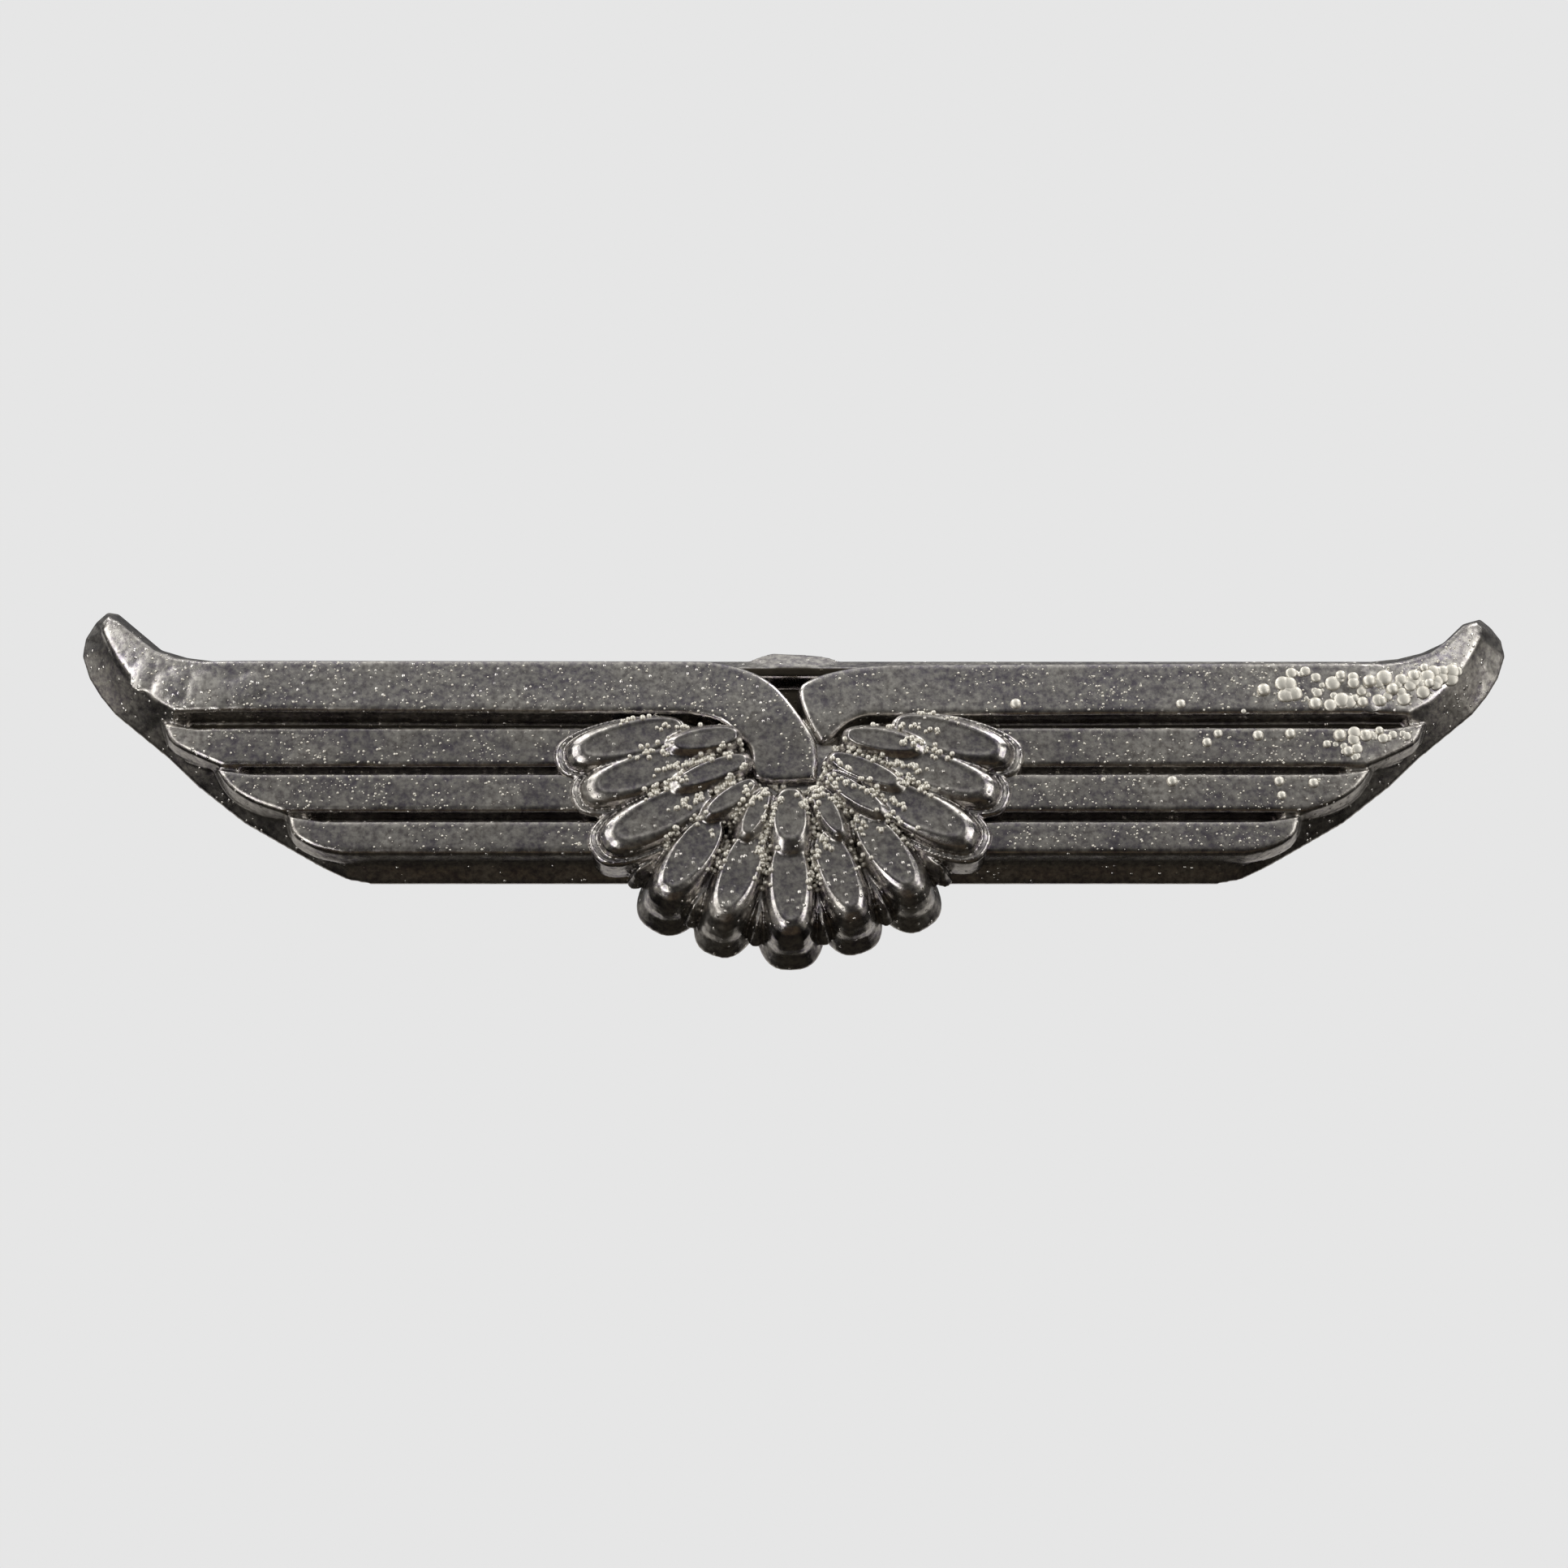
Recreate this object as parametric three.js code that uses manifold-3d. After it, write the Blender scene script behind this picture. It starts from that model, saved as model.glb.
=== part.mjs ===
// A pilot's wings badge with two pins and two squeeze-to-open butterfly clutches.
// Millimetres, +Z up as worn, +X to the right of someone who faces the badge, and the front faces -Y.
// The origin is on the flat back, midway between the two pins.
import * as THREE from "three";
import { mergeVertices } from "three/addons/utils/BufferGeometryUtils.js";
import Module from "manifold-3d";

const wasm = await Module();
wasm.setup();

// ---- Driving dimensions ----
const baseThick = 1.2; // ground of the casting, under the feathers
const barRelief = 1.1; // long wing feathers, above the ground
const skirt = 0.8; // how far the cast edge slopes outwards on its way to the back
const barFlank = 0.3; // the same slope on one long feather
const pocketDepth = 0.5; // hollow in the back around each pin
const pinSpacing = 38.1;
const pinRadius = 0.58;
const pinLength = 7.2; // from the back plane to the point
const flangeRadius = 2.3;
const flangeThick = 0.45;
const clothGap = 1.0; // from the back plane to the clutch, where the cloth goes
const plateRadius = 5.55;
const sheetThick = 0.35; // spring sheet of the clutch
const clearance = 0.05; // between pieces that touch or run on each other

// ---- Materials ----
const nickel = (color, roughness) => new THREE.MeshStandardMaterial({ color, roughness, metalness: 1 });
const castNickel = nickel("#6b6963", 0.35);
const pinNickel = nickel("#b9b7b0", 0.25);
const solder = nickel("#8f8f8c", 0.45);
const clutchNickel = nickel("#c4c1b8", 0.22);

// ---- Solids from three.js geometry ----
const solidOf = (geometry) => {
  const bare = geometry.index ? geometry.toNonIndexed() : geometry.clone();
  for (const name of ["normal", "uv"]) bare.deleteAttribute(name);
  const merged = mergeVertices(bare, 1e-4);
  return new wasm.Manifold(new wasm.Mesh({
    numProp: 3,
    vertProperties: merged.attributes.position.array,
    triVerts: new Uint32Array(merged.index.array),
  }));
};

const meshOf = (name, solid, material) => {
  const { vertProperties, triVerts } = solid.getMesh();
  const geometry = new THREE.BufferGeometry()
    .setAttribute("position", new THREE.BufferAttribute(vertProperties, 3))
    .setIndex(new THREE.BufferAttribute(triVerts, 1));
  const mesh = new THREE.Mesh(geometry, material);
  mesh.name = name;
  return mesh;
};

const union = (solids) => solids.reduce((whole, next) => whole.add(next));
const shapeOf = (points) => new THREE.Shape(points.map(([x, z]) => new THREE.Vector2(x, z)));
const mirrored = (points) => points.map(([x, z]) => [-x, z]).reverse();

// A box from its lowest to its highest corner.
const boxOf = (low, high) => {
  const size = high.map((v, i) => v - low[i]);
  return solidOf(new THREE.BoxGeometry(...size).translate(...low.map((v, i) => v + size[i] / 2)));
};

// A relief pad that stands on an outline in the X-Z plane. Its top is the outline itself, at frontY,
// and its flanks slope out by `slope` over `height`. What lies below that is buried in the ground.
const relief = (outline, frontY, height, slope, segments = 1) => {
  const core = 0.02;
  const pad = new THREE.ExtrudeGeometry(shapeOf(outline), {
    depth: core, bevelEnabled: true, bevelThickness: height, bevelSize: slope,
    bevelOffset: 0, bevelSegments: segments, curveSegments: 1,
  });
  return solidOf(pad.rotateX(Math.PI / 2).translate(0, frontY + core + height, 0));
};

// Points on a Catmull-Rom curve through the given ones.
const smooth = (points, count) => {
  const curve = new THREE.SplineCurve(points.map(([x, z]) => new THREE.Vector2(x, z)));
  return curve.getPoints(count).map((p) => [p.x, p.y]);
};

// ---- Wing feathers, drawn for the right wing (+X) ----
// Each long feather runs from `inner` to a swept end that the curve describes, from its top corner down.
const longFeathers = [
  { inner: 7.5, top: 0.85, end: [[33.0, 1.15], [32.6, 0.35], [31.3, -0.4], [29.9, -1.05]] },
  { inner: 7.5, top: -1.78, end: [[30.0, -1.5], [29.3, -2.35], [28.1, -3.1], [26.7, -3.6]] },
  { inner: 7.5, top: -4.45, end: [[26.2, -4.2], [25.9, -5.0], [24.8, -5.65], [23.5, -5.95]] },
];
const featherOutline = ({ inner, top, end }) => {
  const bottom = end[end.length - 1][1];
  return [[inner, bottom], ...smooth(end, 6).reverse(), [end[0][0] - 1.6, top], [inner, top]];
};

// The leading feather ends in the raised wing tip outside and in a shoulder at the centre. The left
// shoulder sweeps down over the right one, which ends higher up, beside it.
const tipLower = [[32.6, 2.0], [33.8, 2.8], [34.95, 4.0], [35.95, 5.4], [36.7, 6.75]];
const tipUpper = [[36.45, 7.5], [35.7, 6.95], [34.75, 6.15], [33.7, 5.2], [31.4, 4.55]];
const shoulders = {
  left: {
    rise: 0.35,
    top: [[4.6, 4.5], [3.3, 4.25], [2.2, 3.85], [1.2, 3.2], [0.4, 2.27], [-0.35, 1.14], [-1.0, -0.6]],
    inner: [[-1.0, -1.95], [1.8, -1.95], [2.1, -0.4], [2.8, 0.5], [3.9, 1.45], [5.6, 1.82]],
  },
  right: {
    rise: 0,
    top: [[5.2, 4.45], [3.4, 4.3], [2.0, 4.0], [1.05, 3.65], [0.5, 3.1], [0.7, 2.0], [1.1, 1.0]],
    inner: [[1.5, 0.35], [1.95, 0.6], [2.6, 1.2], [3.9, 1.6], [5.6, 1.82]],
  },
};
const leadingFeather = (shoulder) => [
  ...smooth(tipLower, 8), ...smooth(tipUpper, 8), ...smooth(shoulder.top, 10), ...smooth(shoulder.inner, 9),
];

// ---- Plume: small feathers that fan out under the shoulders, drawn for +X, with x = 0 on the centre ----
const outerPlume = [
  { root: [0, -6.3], tip: [0, -11.1], width: 3.0 },
  { root: [2.2, -5.8], tip: [3.7, -10.1], width: 2.9 },
  { root: [4.4, -5.0], tip: [6.9, -8.7], width: 3.0 },
  { root: [5.0, -2.9], tip: [9.9, -5.7], width: 3.0 },
  { root: [5.5, -1.0], tip: [11.0, -3.0], width: 2.8 },
  { root: [6.1, 0.7], tip: [11.9, -0.8], width: 2.7 },
];
const innerPlume = [
  { root: [0, -2.6], tip: [0, -6.7], width: 2.2 },
  { root: [1.2, -2.8], tip: [2.7, -5.8], width: 1.9 },
  { root: [1.8, -2.2], tip: [5.0, -4.6], width: 2.0 },
  { root: [2.0, -1.1], tip: [6.4, -2.9], width: 2.1 },
  { root: [2.8, 0.2], tip: [7.1, -0.6], width: 2.1 },
];
const outerFront = -3.0;
const innerFront = -3.4;

// Between two outer feathers the ridge of a feather behind them shows.
const ridgeFront = -2.1;
const middle = (a, b) => a.map((v, axis) => (v + b[axis]) / 2);
const ridges = outerPlume.slice(1).map(({ root, tip }, i) => {
  const end = middle(outerPlume[i].tip, tip);
  return { root: middle(outerPlume[i].root, root), tip: [end[0] * 0.97, end[1] * 0.97], width: 1.3 };
});

// A petal: narrow at the root, widest past the middle and round at the tip.
const petalOutline = ({ root, tip, width }, grow = 0) => {
  const along = new THREE.Vector2(tip[0] - root[0], tip[1] - root[1]);
  const length = along.length();
  along.normalize();
  const steps = 12;
  const points = [];
  for (let i = 0; i < steps; i++) {
    const turn = (2 * Math.PI * i) / steps;
    const t = (1 - Math.cos(turn)) / 2;
    const half = (width / 2 + grow) * Math.sin(turn) * (0.72 + 0.36 * t);
    const reach = t * (length + 2 * grow) - grow;
    points.push([root[0] + along.x * reach + along.y * half, root[1] + along.y * reach - along.x * half]);
  }
  return points;
};
const bothSides = (feathers) => [
  ...feathers, ...feathers.filter((f) => f.tip[0] > 0).map((f) => ({
    ...f, root: [-f.root[0], f.root[1]], tip: [-f.tip[0], f.tip[1]],
  })),
];
const petal = (feather, frontY, height) => {
  const slope = feather.width * 0.26;
  return relief(petalOutline(feather, -slope), frontY, height, slope, 2);
};

// ---- Ground of the casting ----
const groundEdge = [
  [0, -6.2], [22.8, -6.2], [24.3, -5.55], [26.6, -4.15], [28.5, -2.95], [30.85, -1.0], [32.6, 0.65],
  [34.2, 2.0], [35.6, 3.45], [36.6, 4.85], [37.2, 6.0], [37.25, 7.0], [36.6, 7.75], [35.6, 7.2],
  [34.55, 6.35], [33.6, 5.5], [31.35, 4.85], [0, 4.85],
];
const notchWeb = [[-2.9, 3.6], [2.9, 3.6], [2.5, 4.85], [1.1, 5.2], [-1.2, 5.3], [-2.4, 4.85]];
const ground = (outline) => relief(outline, -baseThick, baseThick, skirt);

// The feathers of the plume stand on a fan that reaches about half way to their tips.
const fanReach = 0.55;
const fanSide = outerPlume.map(({ root, tip }) => root.map((v, axis) => v + (tip[axis] - v) * fanReach));
const fanEdge = [...fanSide, ...mirrored(fanSide.slice(1))];

const makeCasting = () => {
  const barFront = -(baseThick + barRelief);
  const bar = (outline, rise = 0) => relief(outline, barFront - rise, barRelief, barFlank);
  const solids = [
    ground(groundEdge), ground(mirrored(groundEdge)), ground(notchWeb), ground(fanEdge),
    bar(leadingFeather(shoulders.right)),
    bar(mirrored(leadingFeather(shoulders.left)), shoulders.left.rise),
  ];
  for (const outline of longFeathers.map(featherOutline)) solids.push(bar(outline), bar(mirrored(outline)));
  for (const feather of bothSides(outerPlume)) {
    solids.push(petal(feather, outerFront, 1.75));
    solids.push(ground(petalOutline(feather, -0.3)));
  }
  for (const feather of bothSides(innerPlume)) solids.push(petal(feather, innerFront, 1.7));
  for (const feather of bothSides(ridges)) solids.push(petal(feather, ridgeFront, 0.85));
  const mound = new THREE.Shape().absellipse(0, -3.4, 6.4, 4.4, 0, 2 * Math.PI);
  solids.push(relief(mound.getPoints(9).slice(0, -1).map((p) => [p.x, p.y]), -2.0, 1.0, 0.6));
  const behind = boxOf([-50, 0, -25], [50, 10, 25]);
  return union(solids).subtract(behind);
};

// ---- Back of the casting: a hollow round each pin and a blank maker's oval ----
const pocketEdge = [[7, -4.6], [21.5, -4.6], [24.5, -3.6], [28.5, -0.8], [31.0, 1.6], [30.0, 3.2], [7, 3.2]];
const plateOval = { halfWide: 4.2, halfHigh: 2.0, line: 0.3, depth: 0.15 };

const cutBack = (casting) => {
  const depth = pocketDepth + 1;
  const hollow = (outline) => solidOf(
    new THREE.ExtrudeGeometry(shapeOf(outline), { depth, bevelEnabled: false })
      .rotateX(Math.PI / 2).translate(0, 1, 0));
  const ovalCut = (grow, reach) => solidOf(
    new THREE.CylinderGeometry(1, 1, reach, 32)
      .scale(plateOval.halfWide + grow, 1, plateOval.halfHigh + grow));
  const line = ovalCut(plateOval.line / 2, 2 * plateOval.depth).subtract(ovalCut(-plateOval.line / 2, 1));
  return casting.subtract(hollow(pocketEdge)).subtract(hollow(mirrored(pocketEdge))).subtract(line);
};

// ---- Pin: a headed nail with a neck for the clutch jaws and a sharp point ----
const turned = (profile, segments) => {
  const lathe = new THREE.LatheGeometry(profile.map(([r, y]) => new THREE.Vector2(r, y)), segments);
  return solidOf(lathe);
};
const pocketFloor = -pocketDepth;
const flangeTop = pocketFloor + flangeThick;

const makePin = () => turned([
  [0, pocketFloor + 0.02], [flangeRadius, pocketFloor + 0.02], [flangeRadius, flangeTop - 0.1],
  [flangeRadius - 0.12, flangeTop], [pinRadius + 0.35, flangeTop], [pinRadius, flangeTop + 0.3],
  [pinRadius, pinLength - 2.3], [pinRadius - 0.16, pinLength - 2.1], [pinRadius - 0.16, pinLength - 1.8],
  [pinRadius, pinLength - 1.6], [pinRadius - 0.1, pinLength - 1.1], [0, pinLength],
], 24);

const makeSolder = () => turned([
  [flangeRadius + clearance, pocketFloor + 0.02], [flangeRadius + 0.85, pocketFloor + 0.02],
  [flangeRadius + 0.4, pocketFloor + 0.14], [flangeRadius + clearance, flangeTop - 0.12],
  [flangeRadius + clearance, pocketFloor + 0.02],
], 32);

// ---- Butterfly clutch, drawn with its cloth face at y = 0 and its axis on Y ----
const jawPivot = { x: 2.4, y: 2.9 };
const jawTip = { x: 0.25, y: 1.9 }; // past the pin's side, so that each jaw has a half-round notch
const bridge = { halfWide: 2.2, width: 4.4, top: 4.35 };
const window = { low: 2.25, high: 3.65, halfWide: 1.75 };
const neckTop = 0.85;
const footHalf = 3.05; // half the width of the bridge's feet, where the lugs fold over them

const makePlate = () => {
  const dish = turned([
    [0.75, 0.35], [1.05, 0], [plateRadius - 0.5, 0], [plateRadius - 0.15, 0.1], [plateRadius, 0.4],
    [plateRadius - 0.1, 0.78], [plateRadius - 0.4, 0.88], [plateRadius - 0.42, 0.6],
    [plateRadius - 0.62, 0.4], [1.35, 0.4], [1.05, 0.62], [0.98, neckTop], [0.75, neckTop], [0.75, 0.35],
  ], 40);
  const lugs = [1, -1].map((side) => {
    const rise = boxOf([-1.1, 0.3, side > 0 ? 3.15 : -3.5], [1.1, 1.15, side > 0 ? 3.5 : -3.15]);
    const fold = boxOf([-1.1, 0.85, side > 0 ? 2.45 : -3.5], [1.1, 1.15, side > 0 ? 3.5 : -2.45]);
    return rise.add(fold);
  });
  return union([dish, ...lugs]);
};

// The bridge is a strip folded into an arch. Its legs have a window for each ear, and its feet lie
// on the plate.
const makeBridge = () => {
  const { halfWide, width, top } = bridge;
  const foot = 0.43;
  const outer = halfWide + sheetThick;
  const arch = boxOf([-outer, foot, -width / 2], [outer, top, width / 2]);
  const inside = boxOf([-halfWide, foot - 1, -width], [halfWide, top - sheetThick, width]);
  const feet = boxOf([-outer, foot, -footHalf], [outer, foot + sheetThick, footHalf]);
  const opening = boxOf([-1.6, 0, -1.9], [1.6, 2, 1.9]);
  const windows = boxOf([-5, window.low, -window.halfWide], [5, window.high, window.halfWide]);
  const pinHole = solidOf(new THREE.CylinderGeometry(0.9, 0.9, 3, 20).translate(0, top, 0));
  return arch.subtract(inside).add(feet.subtract(opening)).subtract(windows).subtract(pinHole);
};

// One ear: a jaw notched round the pin, a neck that passes through the window, and the finger wing outside.
const makeEar = () => {
  const sheet = (outline, from, angle) => {
    const plate = new THREE.ExtrudeGeometry(shapeOf(outline), { depth: sheetThick, bevelEnabled: false });
    return solidOf(plate.rotateX(Math.PI / 2).translate(0, sheetThick / 2, 0).rotateZ(angle)
      .translate(from.x, from.y, 0));
  };
  const run = new THREE.Vector2(jawPivot.x - jawTip.x, jawPivot.y - jawTip.y);
  const jawHalf = 1.3;
  const jawLength = run.length();
  const jaw = sheet(
    [[0.12, -jawHalf], [jawLength, -jawHalf], [jawLength, jawHalf], [0.12, jawHalf]], jawTip, run.angle());
  const wingStart = { x: jawPivot.x - 0.05, y: jawPivot.y + 0.02 };
  const neckHalf = 1.5;
  const wingHalf = 3.5;
  const wingLength = 4.7;
  const lean = 0.78;
  const edge = smooth([
    [0.4, neckHalf], [1.0, 2.0], [1.6, 3.0], [2.6, wingHalf], [3.8, 3.2], [4.45, 2.1], [wingLength, 0],
  ], 12);
  const wing = sheet([
    [0, -neckHalf], ...edge.map(([x, z]) => [x, -z]), ...edge.slice(0, -1).reverse(), [0, neckHalf],
  ], wingStart, lean);
  const notch = pinRadius + clearance;
  return jaw.add(wing).subtract(turned([[0, -2], [notch, -2], [notch, 6], [0, 6]], 24));
};

// ---- Assembly ----
const badge = new THREE.Group();
badge.add(meshOf("badge_casting", cutBack(makeCasting()), castNickel));
for (const [side, sign] of [["left", -1], ["right", 1]]) {
  const pinX = (sign * pinSpacing) / 2;
  const place = (piece, x, y) => {
    piece.position.set(x, y, 0);
    badge.add(piece);
    return piece;
  };
  place(meshOf(`${side}_pin`, makePin(), pinNickel), pinX, 0);
  place(meshOf(`${side}_pin_solder`, makeSolder(), solder), pinX, 0);
  place(meshOf(`${side}_clutch_plate`, makePlate(), clutchNickel), pinX, clothGap);
  place(meshOf(`${side}_clutch_bridge`, makeBridge(), clutchNickel), pinX, clothGap);
  for (const [ear, turn] of [["outer", sign], ["inner", -sign]]) {
    const piece = place(meshOf(`${side}_clutch_${ear}_ear`, makeEar(), clutchNickel), pinX, clothGap);
    if (turn < 0) piece.rotation.y = Math.PI;
  }
}

export default badge;
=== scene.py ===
import math
import random
import bpy
from mathutils import Euler, Matrix, Vector, noise
from mathutils.bvhtree import BVHTree


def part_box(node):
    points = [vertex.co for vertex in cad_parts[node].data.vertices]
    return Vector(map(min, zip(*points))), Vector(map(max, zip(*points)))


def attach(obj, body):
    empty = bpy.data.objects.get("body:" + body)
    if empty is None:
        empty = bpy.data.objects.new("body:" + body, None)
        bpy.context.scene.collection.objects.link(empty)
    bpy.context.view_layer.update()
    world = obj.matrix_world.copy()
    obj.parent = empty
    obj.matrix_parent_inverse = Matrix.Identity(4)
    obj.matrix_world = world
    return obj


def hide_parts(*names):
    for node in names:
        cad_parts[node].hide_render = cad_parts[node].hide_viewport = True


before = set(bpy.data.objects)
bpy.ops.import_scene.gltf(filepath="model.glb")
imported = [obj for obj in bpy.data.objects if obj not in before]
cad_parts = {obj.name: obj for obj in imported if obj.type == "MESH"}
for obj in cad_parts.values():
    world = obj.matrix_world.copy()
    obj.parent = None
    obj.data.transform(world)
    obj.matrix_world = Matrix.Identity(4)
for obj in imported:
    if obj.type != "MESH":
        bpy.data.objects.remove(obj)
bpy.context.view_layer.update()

print("frame loaded")

# Everything is modelled in millimetres and brought down to metres when a piece is finished.
millimetre = 0.001


# helpers for modelling

def deselectAll():
    if bpy.context.object and bpy.context.object.mode != "OBJECT":
        bpy.ops.object.mode_set(mode="OBJECT")
    bpy.ops.object.select_all(action="DESELECT")


def makeActive(piece):
    deselectAll()
    piece.select_set(True)
    bpy.context.view_layer.objects.active = piece


def editAll(piece):
    makeActive(piece)
    bpy.ops.object.mode_set(mode="EDIT")
    bpy.ops.mesh.select_mode(type="VERT")
    bpy.ops.mesh.select_all(action="SELECT")


def leaveEdit():
    bpy.ops.object.mode_set(mode="OBJECT")


def applyModifier(piece, kind, **settings):
    makeActive(piece)
    modifier = piece.modifiers.new(kind.lower(), kind)
    for key, value in settings.items():
        setattr(modifier, key, value)
    bpy.ops.object.modifier_apply(modifier=modifier.name)


def cut(piece, cutter, operation="DIFFERENCE"):
    applyModifier(piece, "BOOLEAN", operation=operation, solver="EXACT", object=cutter)
    bpy.data.objects.remove(cutter)


def joinPieces(pieces, name):
    deselectAll()
    for piece in pieces:
        piece.select_set(True)
    bpy.context.view_layer.objects.active = pieces[0]
    bpy.ops.object.join()
    pieces[0].name = pieces[0].data.name = name
    return pieces[0]


def outwards(piece):
    editAll(piece)
    bpy.ops.mesh.remove_doubles(threshold=1e-4)
    bpy.ops.mesh.normals_make_consistent(inside=False)
    leaveEdit()


def copyOf(piece, name):
    twin = piece.copy()
    twin.data = piece.data.copy()
    twin.name = twin.data.name = name
    bpy.context.collection.objects.link(twin)
    return twin


def mirrored(points):
    return [(-x, z) for x, z in reversed(points)]


def throughPoints(points, count):
    # a smooth line through the points, as a bent spline would lie
    line = []
    for step in range(count + 1):
        place = step / count * (len(points) - 1)
        i = min(int(place), len(points) - 2)
        t = place - i
        last = len(points) - 1
        a, b, c, d = (Vector(points[min(max(k, 0), last)]) for k in (i - 1, i, i + 1, i + 2))
        spot = ((2 * b) + (c - a) * t + (2 * a - 5 * b + 4 * c - d) * t ** 2
                + (3 * b - a - 3 * c + d) * t ** 3) / 2
        line.append(tuple(spot))
    return line


def addOutline(name, points, depth):
    # a flat face at that depth whose edge runs through the points, facing the front
    deselectAll()
    bpy.ops.mesh.primitive_circle_add(vertices=len(points), radius=1, fill_type="NGON")
    piece = bpy.context.object
    piece.name = name
    for vertex, (x, z) in zip(piece.data.vertices, points):
        vertex.co = (x, depth, z)
    piece.data.update()
    if piece.data.polygons[0].normal.y > 0:
        editAll(piece)
        bpy.ops.mesh.flip_normals()
        leaveEdit()
    return piece


def raiseFace(piece, wall, steps):
    # pulls the face forward into a closed solid, then draws it in step by step: (inset, rise)
    editAll(piece)
    bpy.ops.mesh.select_mode(type="FACE")
    bpy.ops.mesh.extrude_region_move(TRANSFORM_OT_translate={"value": (0, -wall, 0)})
    for inset, rise in steps:
        bpy.ops.mesh.inset(thickness=inset, depth=rise)
    leaveEdit()
    outwards(piece)
    return piece


def spinProfile(name, profile, steps):
    # turns a closed profile of (radius, y) points about the Y axis
    deselectAll()
    bpy.ops.mesh.primitive_circle_add(vertices=len(profile), radius=1, fill_type="NOTHING")
    piece = bpy.context.object
    piece.name = name
    for vertex, (radius, y) in zip(piece.data.vertices, profile):
        vertex.co = (radius, y, 0)
    editAll(piece)
    bpy.ops.mesh.spin(steps=steps, angle=math.tau, center=(0, 0, 0), axis=(0, 1, 0))
    bpy.ops.mesh.select_all(action="SELECT")
    bpy.ops.mesh.remove_doubles(threshold=1e-4)
    bpy.ops.mesh.dissolve_degenerate(threshold=1e-4)
    bpy.ops.mesh.delete_loose()
    leaveEdit()
    outwards(piece)
    return piece


def finishPiece(piece, name, material, body, replaced=(), sharpAngle=35):
    piece.name = piece.data.name = name
    makeActive(piece)
    bpy.ops.object.transform_apply(location=True, rotation=True, scale=True)
    piece.data.transform(Matrix.Scale(millimetre, 4))
    piece.data.materials.clear()
    piece.data.materials.append(material)
    bpy.ops.object.shade_smooth_by_angle(angle=math.radians(sharpAngle))
    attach(piece, body)
    if replaced:
        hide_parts(*replaced)
    return piece


# materials, each named for what the real one is

def fromHex(value):
    # an sRGB hex colour as linear values
    channels = [int(value[i:i + 2], 16) / 255 for i in (1, 3, 5)]
    linear = [c / 12.92 if c <= 0.04045 else ((c + 0.055) / 1.055) ** 2.4 for c in channels]
    return (*linear, 1)


def addNode(tree, kind, links=(), **settings):
    # settings are the node's own values, or its sockets' where a name starts with in_
    # links are pairs: the socket to take from, then the name or number of the one to feed
    node = tree.nodes.new(kind)
    for key, value in settings.items():
        if key.startswith("in_"):
            socket = next(s for s in node.inputs if s.name == key[3:].replace("_", " ") and s.enabled)
            socket.default_value = value
        else:
            setattr(node, key, value)
    for source, target in links:
        if isinstance(target, str):
            socket = next(s for s in node.inputs if s.name == target and s.enabled)
        else:
            socket = node.inputs[target]
        tree.links.new(source, socket)
    return node


def newMaterial(name):
    material = bpy.data.materials.new(name)
    material.use_nodes = True
    tree = material.node_tree
    tree.nodes.clear()
    shader = addNode(tree, "ShaderNodeBsdfPrincipled", in_Metallic=1.0)
    addNode(tree, "ShaderNodeOutputMaterial", [(shader.outputs[0], "Surface")])
    coords = addNode(tree, "ShaderNodeTexCoord")
    return material, tree, shader, coords.outputs["Object"]


def perMetre(sizeMm):
    # a pattern's scale from the size of one of its features
    return 1 / (sizeMm * millimetre)


castLook = {
    "bright": "#d0ccc4",  # nickel on the grain tops
    "dull": "#8f8a86",  # the same nickel where it is thin
    "violet": "#8d8791",  # a faint tint of wear in patches
    "dirtAndShade": "#4a4238",  # dirt and painted shade in the valleys, and painted shade on the lowest parts
    # painted shade in the grooves between the long feathers
    "grooveShade": "#4a443b",
    # how far painted shade darkens the lowest parts
    "lowShade": 0.25,
    "roughness": 0.24,
    "speck": "#f2eee6",
    "grainMm": 0.3,  # coarser than the real grain, so that it shows
    "grainDepthMm": 0.01,
    "speckMm": 0.3,
    "speckDepthMm": 0.045,
    "waveMm": 1.5,
    "waveDepthMm": 0.07,
    "patchMm": 3.0,
}


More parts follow.
